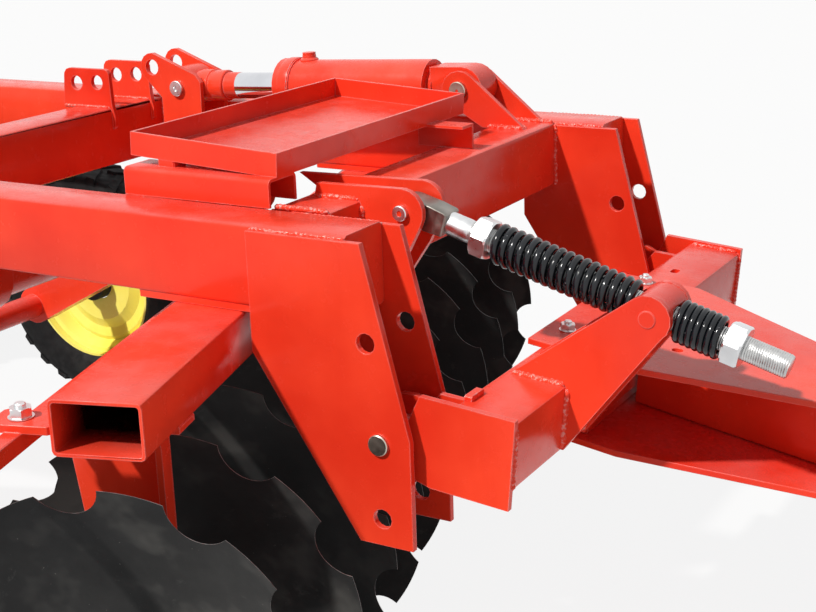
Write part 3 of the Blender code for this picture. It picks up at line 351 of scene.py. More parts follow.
CAST = metal("cast_black", (0.012, 0.012, 0.012), (0.034, 0.033, 0.031), (0.50, 0.72), 24.0,
             metallic=0.0, grain=0.35, specular=0.2)
RUBBER = rubber()
SLOT_FINISH = {"red_paint": RED, "disc_steel": CAST, "black_gloss": SPRING, "zinc_steel": ZINC,
               "chrome": CHROME, "yellow_paint": YELLOW, "tyre_rubber": RUBBER}
FINISH_SLOT = {finish: slot for slot, finish in SLOT_FINISH.items()}
FINISH_SLOT |= {WORN_RED: "red_paint", WELD_RED: "red_paint", DISC: "disc_steel", EDGE: "disc_steel",
                THREAD: "zinc_steel", FORGED: "zinc_steel", PIN: "zinc_steel"}


# ---------------- mesh tools
def polar(radius, angle):
    return radius * math.cos(angle), radius * math.sin(angle)


def circle(radius, steps):
    """Points evenly round a circle, as (u, v)."""
    return [polar(radius, math.tau * i / steps) for i in range(steps)]


def link(name, mesh):
    """A new object in the scene."""
    thing = bpy.data.objects.new(name, mesh)
    bpy.context.scene.collection.objects.link(thing)
    return thing


def moved(place, u, v, w):
    """The same axes about another point, given along them."""
    return axes(place @ Vector((u, v, w)), *(column.copy() for column in place.to_3x3().col))


def as_mesh(bm, name):
    """The mesh of a finished bmesh, its faces turned outward."""
    bmesh.ops.recalc_face_normals(bm, faces=bm.faces)
    mesh = bpy.data.meshes.new(name)
    bm.to_mesh(mesh)
    bm.free()
    return mesh


BEAD_STEP = 0.0022      # distance between two sections of a weld bead


class Piece:
    """A mesh made of several closed solids, then given its finish, its body and the nodes it replaces."""

    def __init__(self):
        self.bm = bmesh.new()

    def ring(self, place, points, height):
        return [self.bm.verts.new(place @ Vector((u, v, height))) for u, v in points]

    def skin(self, loops, closed=False, slot=0):
        """Quads between loops of equal counts, capped at the ends unless it closes on itself."""
        pairs = list(zip(loops, loops[1:])) + ([(loops[-1], loops[0])] if closed else [])
        for low, high in pairs:
            for i in range(len(low)):
                face = self.bm.faces.new((low[i - 1], low[i], high[i], high[i - 1]))
                face.material_index = slot
        if not closed:
            for end in (loops[0], loops[-1]):
                self.bm.faces.new(end).material_index = slot

    def lathe(self, place, rings, steps, slot=0):
        """Turn (radius, height) rings about place's third axis; first equal to last makes a ring."""
        closed = rings[0] == rings[-1]
        loops = [self.ring(place, circle(r, steps), h) for r, h in (rings[:-1] if closed else rings)]
        self.skin(loops, closed, slot)

    def slab(self, place, outline, depth, edge=0.0015):
        """A flat outline made thick along place's third axis, with chamfered rims."""
        middle = Vector((sum(u for u, v in outline), sum(v for u, v in outline))) / len(outline)
        small = []
        for point in outline:
            reach = Vector(point) - middle
            small.append(tuple(middle + reach * (1 - edge / reach.length)))
        self.skin([self.ring(place, small, 0), self.ring(place, outline, edge),
                   self.ring(place, outline, depth - edge), self.ring(place, small, depth)])

    def hex(self, place, corner, height, chamfer, slot=0):
        """A hexagonal nut or bolt head, its corners turned off; corner is its radius there."""
        steps = 36
        turned = corner * 0.90
        loops = []
        for h, limit in ((0, turned), (chamfer, corner), (height - chamfer, corner), (height, turned)):
            points = []
            for i in range(steps):
                a = math.tau * i / steps
                flat = corner * math.cos(math.pi / 6) / math.cos((a % (math.pi / 3)) - math.pi / 6)
                points.append(polar(min(flat, limit), a))
            loops.append(self.ring(place, points, h))
        self.skin(loops, slot=slot)

    def bolt(self, place, size, stud, slot=0):
        """Washer, nut and a stub of thread standing on a face; size is the thread's diameter."""
        washer = 0.14 * size
        self.lathe(place, [(0.3 * size, 0), (1.06 * size, 0), (1.13 * size, washer * 0.3),
                           (1.13 * size, washer), (0.3 * size, washer)], 24, slot)
        nut = 0.82 * size
        end = washer + nut + stud
        self.hex(moved(place, 0, 0, washer), 1.02 * size, nut, 0.06 * size, slot)
        self.lathe(place, [(0.45 * size, washer), (0.5 * size, washer + 0.1 * size),
                           (0.5 * size, end - 0.1 * size), (0.42 * size, end)], 16, slot)

    def tube(self, points, radius, steps):
        """A round bar along points; radius is a function of the share of the way along."""
        loops = []
        side = None
        for i, p in enumerate(points):
            ahead = (points[min(i + 1, len(points) - 1)] - points[max(i - 1, 0)]).normalized()
            if side is None:
                side = ahead.orthogonal().normalized()
            side = (side - ahead * side.dot(ahead)).normalized()
            other = ahead.cross(side)
            r = radius(i / (len(points) - 1))
            loops.append([self.bm.verts.new(p + side * (r * c) + other * (r * s))
                          for c, s in circle(1.0, steps)])
        self.skin(loops)

    def bead(self, points, radius, seed):
        """A weld bead along a polyline, with the ripples of its run."""
        path = []
        for a, b in zip(points, points[1:]):
            count = max(2, int((b - a).length / BEAD_STEP))
            path += [a.lerp(b, i / count) for i in range(count)]
        path.append(points[-1])
        draw = random.Random(seed)
        phase, last = draw.random() * 6, len(path) - 1

        def thick(share):
            run = share * last
            ripple = 0.13 * math.sin(run * 1.45 + phase) + 0.16 * noise.noise((run * 0.11, phase, 0.0))
            ends = min(1.0, 0.35 + min(run, last - run) / 4)
            return radius * (1 + ripple) * ends

        self.tube(path, thick, 8)

    def done(self, name, finishes, body, replaces=(), bevel=0.0, angle=35):
        """Make the object: faces out, shaded, finished, riding on its body."""
        mesh = as_mesh(self.bm, name)
        finishes = finishes if isinstance(finishes, (list, tuple)) else [finishes]
        for finish in finishes:
            mesh.materials.append(finish)
        mesh.shade_smooth()
        mesh.set_sharp_from_angle(angle=math.radians(angle))
        thing = link(name, mesh)
        if bevel:
            soften(thing, bevel)
        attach(thing, body)
        if replaces:
            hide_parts(*replaces)
        return thing


def modify(thing, name, kind, **settings):
    made = thing.modifiers.new(name, kind)
    for key, value in settings.items():
        setattr(made, key, value)


def soften(thing, width):
    """Round a solid's sharp edges by a few tenths of a millimetre to a few millimetres."""
    modify(thing, "soft_edges", "BEVEL", width=width, segments=2, limit_method="ANGLE",
           angle_limit=math.radians(32), harden_normals=True, miter_outer="MITER_ARC")


def clean(mesh):
    """Drop the imported normals and marks, and shade the mesh smooth."""
    for layer in ("custom_normal", "sharp_edge", "sharp_face"):
        if layer in mesh.attributes:
            mesh.attributes.remove(mesh.attributes[layer])
    mesh.shade_smooth()


def join_corners(thing):
    modify(thing, "join", "WELD", merge_threshold=1e-5)


def flatten(thing):
    modify(thing, "flatten", "DECIMATE", decimate_type="DISSOLVE", angle_limit=math.radians(0.8))


def dress(node, finish, bevel):
    """Give a CAD node its finish, and join, flatten and soften its facets with modifiers."""
    thing = NODES[node]
    thing.data.materials[0] = finish
    clean(thing.data)
    join_corners(thing)
    flatten(thing)
    soften(thing, bevel)


def recut(node, body, finish, cutters, bevel):
    """A CAD node with holes, seats or slots cut in it, in place of the plain one."""
    made = link(f"{node}_cut", NODES[node].data.copy())
    made.matrix_world = NODES[node].matrix_world.copy()
    join_corners(made)
    knives = []
    for cutter in cutters:
        knife = link("knife", as_mesh(cutter.bm, "knife"))
        modify(made, "cut", "BOOLEAN", object=knife, solver="EXACT")
        knives.append(knife)
    bpy.context.view_layer.update()
    mesh = bpy.data.meshes.new_from_object(made.evaluated_get(bpy.context.evaluated_depsgraph_get()))
    for spent in (*knives, made):
        bpy.data.objects.remove(spent)
    clean(mesh)
    mesh.materials.clear()
    mesh.materials.append(finish)
    thing = link(f"{node}_cut", mesh)
    flatten(thing)
    soften(thing, bevel)
    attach(thing, body)
    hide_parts(node)


# ---------------- CAD nodes that stay
REPLACED_WORDS = ("_disc_", "_tyre", "_rim", "_spring", "levelling_rod", "cylinder_rod", "rod_trunnion",
                  "tongue_upper_plate", "cross_tube")
EDGE_BEVEL = 0.0016
OTHER_BEVEL = {"gang_beam": 0.0040, "cylinder_barrel": 0.0015, "jack_leg": 0.0012, "jack_sleeve": 0.0012,
               "tray": 0.0010, "gang_axle": 0.0012}
for node_name, node in sorted(NODES.items()):
    if not any(word in node_name for word in REPLACED_WORDS):
        end, like = node_name.partition("_")[::2]
        finish = SLOT_FINISH[node.data.materials[0].name.split(".")[0]]
        if like == "gang_beam":
            finish = TUBE_RED[end]
        dress(node_name, finish, OTHER_BEVEL.get(like, OTHER_BEVEL.get(node_name, EDGE_BEVEL)))


# ---------------- discs
DISC_R = 0.352
DISC_T = 0.007
DISC_FLAT_R = 0.095
DISC_DEPTH = 0.078
NOTCHES = 10
NOTCH_DEPTH = 0.047
GROUND_W = 0.013        # width of the ground bevel at the rim
LIP = 0.0016            # thickness left at the rim
SQUARE = 0.0225         # half of the square hole in a disc


def rim_radius(angle):
    """Rim of a notched disc: lobes on the full radius and a round bite between each two."""
    share = (angle * NOTCHES / math.tau) % 1.0
    if share <= 0.5:
        return DISC_R
    across = (share - 0.75) * math.tau / NOTCHES * DISC_R
    half = 0.25 * math.tau / NOTCHES * DISC_R
    bite = (half ** 2 + NOTCH_DEPTH ** 2) / (2 * NOTCH_DEPTH)
    depth = NOTCH_DEPTH - bite + math.sqrt(max(0.0, bite ** 2 - across ** 2))
    return DISC_R - max(0.0, depth)


def dish(radius):
    """How far the dish stands out at a radius."""
    reach = max(0.0, radius - DISC_FLAT_R) / (DISC_R - DISC_FLAT_R)
    return DISC_DEPTH * reach ** 1.6


def disc_turns():
    """Angles round a disc, closer together in the notches than on the lobes."""
    per = math.tau / NOTCHES
    turns = []
    for n in range(NOTCHES):
        turns += [per * (n + k / 14) for k in range(7)]
        turns += [per * (n + 0.5 + 0.25 * (1 - math.cos(math.pi * k / 17))) for k in range(17)]
    return turns


def disc_mesh():
    """One disc about its own centre: u across, v up, w to its hollow side."""
    turns = disc_turns()
    shares = (0.0, 0.12, 0.25, 0.38, 0.5, 0.62, 0.73, 0.83, 0.92, 1.0)
    bm = bmesh.new()

    def vertex(a, r, height):
        return bm.verts.new((*polar(r, a), height))

    sheets = []
    for face in (1, -1):
        rows = []
        for share in shares:
            row = []
            for a in turns:
                inner = SQUARE / max(abs(math.cos(a)), abs(math.sin(a)))
                outer = rim_radius(a) - GROUND_W * (face < 0)
                r = inner + (outer - inner) * share
                row.append(vertex(a, r, dish(r) + face * DISC_T / 2))
            rows.append(row)
        if face < 0:
            rows.append([vertex(a, rim_radius(a), dish(rim_radius(a)) + DISC_T / 2 - LIP) for a in turns])
        sheets.append(rows)
    skins = [(low, high, int(face == 1 and k == len(shares) - 1))
             for face, rows in enumerate(sheets) for k, (low, high) in enumerate(zip(rows, rows[1:]))]
    for low, high, slot in (*skins, (sheets[0][0], sheets[1][0], 0), (sheets[0][-1], sheets[1][-1], 1)):
        for i in range(len(turns)):
            bm.faces.new((low[i - 1], low[i], high[i], high[i - 1])).material_index = slot
    mesh = as_mesh(bm, "notched_disc")
    mesh.materials.append(DISC)
    mesh.materials.append(EDGE)
    mesh.shade_smooth()
    mesh.set_sharp_from_angle(angle=math.radians(30))
    return mesh


def gang_ways(word):
    """Along a gang to the left, level across it to the front, and the way its discs' hollows face."""
    along = Vector(JOINTS[f"{word}_gang_spin"]["axis"])
    return along, Vector((along.y, -along.x, 0)), along * (-1 if word == "front" else 1)


DISC_PITCH = 0.2434
DISC_COUNT = 10
shared_disc = disc_mesh()
for word in ("front", "rear"):
    along, across, hollow = gang_ways(word)
    first = joint_pos(f"{word}_gang_spin")
    for n in range(DISC_COUNT):
        place = axes(first + along * (DISC_PITCH * n), across, Z, hollow)
        mesh = shared_disc.copy()
        mesh.transform(place)
        if place.determinant() < 0:
            mesh.flip_normals()
        thing = link(f"{word}_notched_disc_{n + 1}", mesh)
        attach(thing, f"{word}_gang")
        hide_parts(f"{word}_disc_{n + 1}")


# ---------------- levelling rod and springs
ROD_RUN = (TRUNNION - ROD_PIN).normalized()
ROD_SIDE = Y.cross(ROD_RUN)
ROD_REACH = (TRUNNION - ROD_PIN).length
ROD_R = 0.0222
ROD_LENGTH = 0.757
NUT_CORNER = 0.041
NUT_T = 0.034
INNER_NUT, OUTER_NUT = 0.140, 0.641
SEAT = 0.032            # depth of each spring's seat in the trunnion, from its axis
SPRING_R = 0.0395
THREAD_PITCH = 0.0042
THREAD_DEPTH = 0.0016
THREAD_START = 0.130
THREAD_END = 0.004      # length of its run-out and of its end's chamfer
CLOSED = 0.9            # turns of a spring that lie closed at each end


def along_rod(distance):
    """A place on the levelling rod, its third axis along the rod."""
    return axes(ROD_PIN + ROD_RUN * distance, ROD_SIDE, Y, ROD_RUN)


def threaded_rod():
    """The rod's thread as a true helix from its run-out to its chamfered end."""
    piece = Piece()
    steps, rows_per_turn = 24, 4
    base = along_rod(0)
    loops = [piece.ring(base, circle(ROD_R - THREAD_DEPTH, steps), THREAD_START - THREAD_END)]
    count = int((ROD_LENGTH - THREAD_START) / THREAD_PITCH * rows_per_turn)
    for k in range(count + 1):
        height = THREAD_START + (ROD_LENGTH - THREAD_START) * k / count
        points = []
        for i in range(steps):
            wave = (height / THREAD_PITCH - i / steps) % 1.0
            crest = min(1.0, 2.6 * min(wave, 1 - wave))
            end = min(1.0, (ROD_LENGTH - height) / THREAD_END)
            r = (ROD_R - THREAD_DEPTH + THREAD_DEPTH * crest) * (0.90 + 0.10 * end)
            points.append(polar(r, math.tau * i / steps))
        loops.append(piece.ring(base, points, height))
    piece.skin(loops)
    piece.done("rod_thread", THREAD, "levelling_rod", angle=60)


def rod_end():
    """Forged eye block on the rod's pin, and the turned shank between it and the thread."""
    block = Piece()
    half = 0.026
    back = [(1.15 * half * math.cos(a), half * math.sin(a))
            for a in np.linspace(-math.pi / 2, -3 * math.pi / 2, 15)]
    front = [(0.044, half), (0.078, half * 0.90), (0.082, half * 0.80),
             (0.082, -half * 0.80), (0.078, -half * 0.90), (0.044, -half)]
    block.slab(axes(ROD_PIN + Y * 0.027, ROD_RUN, ROD_SIDE, -Y), back + front, 0.054, 0.003)
    block.done("rod_eye", FORGED, "levelling_rod", ["levelling_rod"], bevel=0.0015)
    shank = Piece()
    shank.lathe(along_rod(0), [(0.0205, 0.078), (0.0222, 0.082), (0.0228, 0.084), (0.0228, 0.120),
                               (0.0222, 0.126), (0.0212, THREAD_START), (0.018, THREAD_START + 0.002)], 40)
    shank.done("rod_shank", ZINC, "levelling_rod")
    nuts = Piece()
    corner = ROD_SIDE.lerp(Y, 0.25).normalized()
    for start in (INNER_NUT, OUTER_NUT):
        place = axes(ROD_PIN + ROD_RUN * start, corner, ROD_RUN.cross(corner), ROD_RUN)
        nuts.hex(place, NUT_CORNER, NUT_T, 0.004)
    nuts.done("rod_nuts", ZINC, "levelling_rod", bevel=0.0008, angle=25)


def coil(name, start, end, turns, wire, node):
    """A closed-end compression spring between two places along the rod."""
    piece = Piece()
    steps = int(turns * 30)
    mean = SPRING_R - wire
    points = []
    lift = 2 * wire * 1.02
    middle_pitch = (end - start - 2 * wire - 2 * CLOSED * lift) / (turns - 2 * CLOSED)
    height = 0.0
    for k in range(steps + 1):
        turn = turns * k / steps
        place = along_rod(start + wire + height)
        points.append(place @ Vector((*polar(mean, math.tau * turn), 0)))
        into = min(turn, turns - turn) / CLOSED
        height += (lift if into < 1 else middle_pitch) * turns / steps
    scale = (end - start - 2 * wire) / height
    for k, point in enumerate(points):
        along = (point - ROD_PIN).dot(ROD_RUN)
        wanted = start + wire + (along - start - wire) * scale
        points[k] = point + ROD_RUN * (wanted - along)
    piece.tube(points, lambda share: wire * min(1.0, 0.55 + 60 * min(share, 1 - share)), 14)
    thing = piece.done(name, SPRING, "levelling_rod", [node], angle=80)
    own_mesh(thing)


def trunnion():
    """The cross bar between the levers, with a round seat for each spring."""
    seats = []
    for way in (-1, 1):
        seat = Piece()
        start = ROD_REACH + way * (SEAT - 0.0004)
        seat.lathe(along_rod(start), [(SPRING_R + 0.0012, 0), (SPRING_R + 0.0012, way * 0.030)], 48)
        seats.append(seat)
    recut("rod_trunnion", "rod_trunnion", RED, seats, 0.0012)


trunnion()
threaded_rod()
rod_end()
coil("long_coil", INNER_NUT + NUT_T, ROD_REACH - SEAT, 17.2, 0.0073, "long_spring")
coil("short_coil", ROD_REACH + SEAT, OUTER_NUT, 7.3, 0.0062, "short_spring")


# ---------------- lift cylinder
CYLINDER_RUN = (CRANK_PIN - BASE_PIN).normalized()
CYLINDER_SIDE = Y.cross(CYLINDER_RUN)
PORT = 0.456            # the oil port, from the base pin


def cylinder_rod():
    """Chrome rod, its painted end and collar, and the eye between the cranks."""
    length = (CRANK_PIN - BASE_PIN).length
    place = axes(BASE_PIN, CYLINDER_SIDE, Y, CYLINDER_RUN)
    bar = Piece()
    bar.lathe(place, [(0.030, 0.275), (0.034, 0.279), (0.034, length - 0.166)], 64)
    bar.done("chrome_rod", CHROME, "cylinder_rod")
    end = Piece()
    end.lathe(place, [(0.0335, length - 0.169), (0.0345, length - 0.168), (0.0345, length - 0.132),
                      (0.0355, length - 0.124)], 48)
    end.lathe(place, [(0.033, length - 0.132), (0.039, length - 0.129), (0.0408, length - 0.126),
                      (0.040, length - 0.094), (0.0385, length - 0.090), (0.0385, length - 0.084),
                      (0.042, length - 0.080), (0.043, length - 0.050), (0.036, length - 0.030)], 40)
    ring = [(0.020, -0.0400), (0.052, -0.0400), (0.0545, -0.0375), (0.0545, 0.0375), (0.052, 0.0400),
            (0.020, 0.0400), (0.020, -0.0400)]
    end.lathe(axes(CRANK_PIN, X, Z, -Y), ring, 48)
    end.done("rod_end_eye", RED, "cylinder_rod", ["cylinder_rod"], angle=30)


cylinder_rod()


# ---------------- wheels
TYRE_R = 0.363
TYRE_HALF = 0.098
RIM_R = 0.235
LUGS = 26
WHEEL_BOLTS = 6
BOLT_CIRCLE = 0.090
RIM_FACE = -0.0255      # the bolted centre, from the wheel's middle plane


def wheel(word, side):
    """One wheel: its carcass with two rows of lugs, and its rim."""
    place = axes(joint_pos(f"{word}_wheel_spin"), Z, X * side, Y * side)
    tyre = Piece()
    w = TYRE_HALF
    carcass = TYRE_R - 0.013
    wall = ((RIM_R + 0.0004, w * 0.78), (RIM_R + 0.010, w * 0.86), (RIM_R + 0.030, w * 0.975),
            (RIM_R + 0.060, w * 0.995), (RIM_R + 0.085, w * 0.96), (carcass - 0.008, w * 0.90),
            (carcass, w * 0.80), (carcass + 0.002, w * 0.4))
    section = [(r, -h) for r, h in wall] + [(carcass + 0.003, 0), *reversed(wall)]
    tyre.lathe(place, [*section, section[0]], 96)
    for row, low, high, skew in ((0, 0.04, 0.88, 0.20), (1, -0.88, -0.04, -0.20)):
        for n in range(LUGS):
            mid = math.tau * (n + 0.5 * row) / LUGS
            tread_lug(tyre, place, mid, low * w, high * w, skew)
    tyre.done(f"{word}_lugged_tyre", RUBBER, f"{word}_wheel", [f"{word}_tyre"], angle=40)
    rim(word, place)


def tread_lug(piece, place, mid, low, high, skew):
    """One skewed block of the tread, wider at its root than at its top."""
    rows = []
    for radius, grow in ((TYRE_R - 0.018, 0.0060), (TYRE_R - 0.004, 0.0015), (TYRE_R - 0.0008, 0.0)):
        half = 0.0155 + grow
        ring = []
        for h, lean in ((low - grow, -1), (high + grow, 1)):
            for s in ((-1, 1) if lean < 0 else (1, -1)):
                turn = mid + (s * half * (1.0 if lean * skew > 0 else 0.8) + skew * 0.10 * lean) / TYRE_R
                drop = 0.010 * max(0.0, abs(h) / TYRE_HALF - 0.75) / 0.25
                ring.append(piece.bm.verts.new(place @ Vector((*polar(radius - drop, turn), h))))
        rows.append(ring)
    piece.skin(rows)


def rim(word, place):
    """Deep-dished pressed rim with a bolted centre, and its hub."""
    w = TYRE_HALF
    piece = Piece()
    piece.lathe(place, rim_section(w), 96)
    for n in range(WHEEL_BOLTS):
        spot = moved(place, *polar(BOLT_CIRCLE, math.tau * n / WHEEL_BOLTS), RIM_FACE)
        piece.bolt(spot, 0.0145, 0.008, slot=1)
    hub = [(0.0252, -0.0697), (0.052, -0.0697), (0.054, -0.066), (0.054, 0.010), (0.050, 0.016),
           (0.040, 0.020), (0.040, 0.044), (0.036, 0.048), (0.0252, 0.048), (0.0252, -0.0697)]
    piece.lathe(place, hub, 48, slot=2)
    piece.done(f"{word}_dished_rim", [YELLOW, ZINC, CAST], f"{word}_wheel", [f"{word}_rim"], angle=28)


def rim_section(w):
    """Section of the rim: flange, bead seats, well and dished centre, all one pressed sheet."""
    sheet = 0.0045
    outer = [(0.056, RIM_FACE), (0.128, RIM_FACE), (0.144, -0.014), (0.158, -0.006), (0.188, -0.010),
             (0.199, 0.002), (0.203, w * 0.30), (0.214, w * 0.52), (0.226, w * 0.58), (0.2285, w * 0.80)]
    flange = [(RIM_R, w * 0.80), (RIM_R, w * 0.70), (RIM_R - 0.002, w * 0.56), (RIM_R - 0.012, w * 0.46),
              (RIM_R - 0.024, w * 0.26), (RIM_R - 0.026, -w * 0.26), (RIM_R - 0.012, -w * 0.46),
              (RIM_R - 0.002, -w * 0.56), (RIM_R, -w * 0.70), (RIM_R, -w * 0.80)]
    rear = [(0.2285, -w * 0.80), (0.226, -w * 0.58), (0.214, -w * 0.52), (0.203, -w * 0.30), (0.199, -0.014),
            (0.186, -0.010 - sheet * 2), (0.158, -0.006 - sheet * 1.6), (0.140, -0.014 - sheet * 1.6),
            (0.126, RIM_FACE - sheet), (0.056, RIM_FACE - sheet)]
    return [*outer, *flange, *rear, outer[0]]


for word, side in (("right", -1), ("left", 1)):
    wheel(word, side)


# ---------------- pins, bolts and cut plates
LUG_BOLTS = (-1.118, 0.0, 0.960)   # along a gang beam, from the middle line
LUG_BACK = 0.145                   # the bolts behind the gang beam's middle
PLATE_TOP = 0.0990                 # top of the tongue's upper plate, above the hinge pin


def pin_cap(piece, spot, out, radius, stand, dimple=0.0):
    """The turned end of a pin: a chamfered cap over a plain stub that stands out of its plate."""
    place = axes(spot, Z, out.cross(Z), out)
    rings = [(radius * 0.5, -0.002), (radius, -0.002), (radius, stand - 0.0016), (radius - 0.0016, stand)]
    if dimple:
        rings += [(dimple, stand), (dimple * 0.8, stand - 0.004)]
    piece.lathe(place, rings, 36)


def pins():
    """The ends of the hinge, rod, cylinder and crank pins, and of the trunnion's stubs."""
    rod, bright, crank, stub = Piece(), Piece(), Piece(), Piece()
    for side in (-1, 1):
        out = Y * side
        hinge = Vector((PIVOT.x, MIDDLE_Y + side * (HALF_FRAME + PLATE + 0.0003), PIVOT.z))
        pin_cap(bright, hinge, out, 0.0197, 0.0072)
        pin_cap(rod, ROD_PIN + out * (LUG_GAP + PLATE), out, 0.0150, 0.0100, 0.0062)
        pin_cap(bright, BASE_PIN + out * (EAR_GAP + PLATE), out, 0.0215, 0.0110, 0.0040)
        pin_cap(crank, CRANK_PIN + out * (EAR_GAP + CRANK_T), out, 0.0205, 0.0100, 0.0075)
        pin_cap(stub, TRUNNION + out * (LEVER_GAP + PLATE), out, 0.0165, 0.0022)
    bright.done("hinge_pin_ends", PIN, "frame", angle=30)
    rod.done("rod_pin_ends", ZINC, "frame", angle=30)
    crank.done("crank_pin_ends", ZINC, "wheel_carrier", angle=30)
    stub.done("trunnion_pin_ends", RED, "rod_trunnion", angle=30)


def bolts():
    """The bolts of the scraper bars' lugs and of the tongue's upper plate."""
    lugs, plate = Piece(), Piece()
    for word in ("front", "rear"):
        along, across, _ = gang_ways(word)
        low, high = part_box(f"{word}_gang_beam")
        origin = Vector(((low.x + high.x) / 2, MIDDLE_Y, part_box(f"{word}_scraper_bar")[1].z))
        for spot in LUG_BOLTS:
            lugs.bolt(axes(origin + along * spot - across * LUG_BACK, across, along, Z), 0.0190, 0.007)
    lugs.done("scraper_bar_bolts", ZINC, "frame", angle=25)
    for fore, y in ((0.135, -0.159), (0.152, 0.214)):
        plate.bolt(axes(on_drawbar(fore, y, PLATE_TOP), FORE, Y, UP), 0.0150, 0.006)
    plate.done("tongue_plate_bolts", ZINC, "drawbar", angle=25)


def tongue_plate():
    """The tongue's upper plate with its drilled hole."""
    drill = Piece()
    drill.lathe(axes(on_drawbar(0.352, -0.130, 0.080), FORE, Y, UP), [(0.0105, 0), (0.0105, 0.030)], 32)
    recut("tongue_upper_plate", "drawbar", RED, [drill], EDGE_BEVEL)


def cross_tube():
    """The cross tube with the slot in its top, and the small lug welded on near its right end."""
    slot, lug = Piece(), Piece()
    radius, half_run = 0.009, 0.007
    outline = [(radius * math.cos(a) + math.copysign(half_run, math.cos(a)), radius * math.sin(a))
               for a in np.linspace(0.01, math.tau + 0.01, 24, endpoint=False)]
    slot.slab(axes(on_drawbar(0.163, 0.376, 0.074), Y, FORE, UP), outline, 0.030)
    recut("cross_tube", "drawbar", RED, [slot], EDGE_BEVEL)
    lug.slab(axes(on_drawbar(0.126, -0.538, 0.0835), Y, FORE, UP),
             [(-0.024, -0.008), (0.024, -0.008), (0.024, 0.008), (-0.024, 0.008)], 0.0125, 0.003)
    lug.done("cross_tube_lug", WORN_RED, "drawbar", bevel=0.001, angle=30)


def gland():
    """The rubbed gland ring on the end of the barrel, and the plug in its oil port."""
    ring = Piece()
    ring.lathe(axes(BASE_PIN, CYLINDER_SIDE, Y, CYLINDER_RUN),
               [(0.0700, 0.4865), (0.0725, 0.4875), (0.0732, 0.492), (0.0732, 0.510), (0.0700, 0.521),
                (0.0600, 0.5335), (0.0360, 0.5335), (0.0360, 0.5300), (0.0600, 0.5300), (0.0700, 0.4865)], 72)
    ring.done("gland_ring", WORN_RED, "cylinder_barrel", angle=25)
    plug = Piece()
    outward = CYLINDER_SIDE if CYLINDER_SIDE.z > 0 else -CYLINDER_SIDE
    port = axes(BASE_PIN + CYLINDER_RUN * PORT, CYLINDER_RUN, Y, outward)
    plug.lathe(port, [(0.0235, 0.062), (0.0235, 0.068), (0.0200, 0.0715), (0.0176, 0.0725),
                      (0.0176, 0.0780)], 32)
    plug.hex(moved(port, 0, 0, 0.0786), 0.0165, 0.0065, 0.0012)
    plug.done("port_plug", RED, "cylinder_barrel", angle=25)


pins()
bolts()
tongue_plate()
cross_tube()
gland()


# ---------------- weld beads
FINE_BEAD, THIN_BEAD, BEAD = 0.0043, 0.0052, 0.0058     # bead radii
WIDE_BEAD, BROAD_BEAD, HEAVY_BEAD = 0.0061, 0.0067, 0.0070
STAND = 0.0005          # how far a bead's middle stands off the face it runs along
ARM_INNER, ARM_OUTER = 0.420, 0.490   # the wheel arms' sides, from the middle line
HOLE_PLATES = (-0.149, 0.011)       # right faces of the two-hole plates, from the cylinder's middle
END_PLATE, END_LUG = 0.018, 0.096   # how far the tube's end plates and lugs stand inside the frame


def faces(gap, plate):
    """Both faces of both plates of a pair that stand a gap away from their middle plane."""
    return [face for low in (-gap - plate, gap) for face in (low - STAND, low + plate + STAND)]


def crossbeam_ends(piece):
    """The beads where the three crossbeams meet the long beams and their clevis plates."""
    count = 0
    inner = HALF_FRAME - BEAM_W

    def bead(y, start, end, radius, seed):
        """One run at y between two (x, height above the frame's top) points."""
        piece.bead([at(x, y, FRAME_TOP + height) for x, height in (start, end)], radius, seed)

    for side in (-1, 1):
        y = side * (inner - PLATE - 0.0003)
        for x in (0.001, -0.1265):
            bead(y, (x, -0.150), (x, -0.004), BEAD, count)
            count += 1
        bead(y, (-0.122, 0.001), (-0.004, 0.001), BEAD, count)
        for front in (MIDDLE_BAR, REAR_BAR):
            y = side * (inner - STAND)
            for x in (front + 0.001, front - 0.127):
                bead(y, (x, -0.148), (x, -0.006), BEAD, count)
                count += 1
            bead(y, (front - 0.120, STAND), (front - 0.006, STAND), BEAD, count)
        for y in (side * (HALF_FRAME + STAND), side * (inner - STAND)):
            bead(y, (-0.081, -0.0055), (0.118, -0.0055), FINE_BEAD, count)
            bead(y, (-0.084, -0.0085), (-0.084, 0.008 - BEAM_H), THIN_BEAD, count + 50)
            count += 1
    return count


def frame_welds():
    """Beads on the frame, from its crossbeams back to its hangers."""
    piece = Piece()
    count = crossbeam_ends(piece)
    top = FRAME_TOP + 0.0015
    for face in faces(EAR_GAP, PLATE):
        y = CYLINDER_Y - MIDDLE_Y + face
        piece.bead([at(-0.124, y, top), at(-0.030, y, top)], BROAD_BEAD, count)
        count += 1
    for face in faces(LUG_GAP, PLATE):
        y = ROD_Y + face
        piece.bead([at(-0.103, y, top), at(-0.006, y, top)], WIDE_BEAD, count)
        piece.bead([at(0.0015, y, FRAME_TOP - 0.010), at(0.0015, y, FRAME_TOP - 0.136)],
                   WIDE_BEAD, count + 70)
        count += 1
    top = FRAME_TOP + 0.0012
    for right in HOLE_PLATES:
        low = CYLINDER_Y - MIDDLE_Y + right
        for y in (low - STAND, low + PLATE + STAND):
            piece.bead([at(-1.364, y, top), at(-1.206, y, top)], THIN_BEAD, count)
            count += 1
    for word in ("front", "rear"):
        along, across, _ = gang_ways(word)
        for n in (1, 2, 3):
            low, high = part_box(f"{word}_hanger_{n}")
            middle = (low + high) / 2 + across * 0.048
            middle.z = high.z - 0.0150
            for side in (-1, 1):
                edge = middle + along * (side * 0.0088)
                piece.bead([edge - across * 0.118, edge + across * 0.026], THIN_BEAD, count)
                count += 1
    piece.done("frame_weld_beads", WELD_RED, "frame", angle=60)


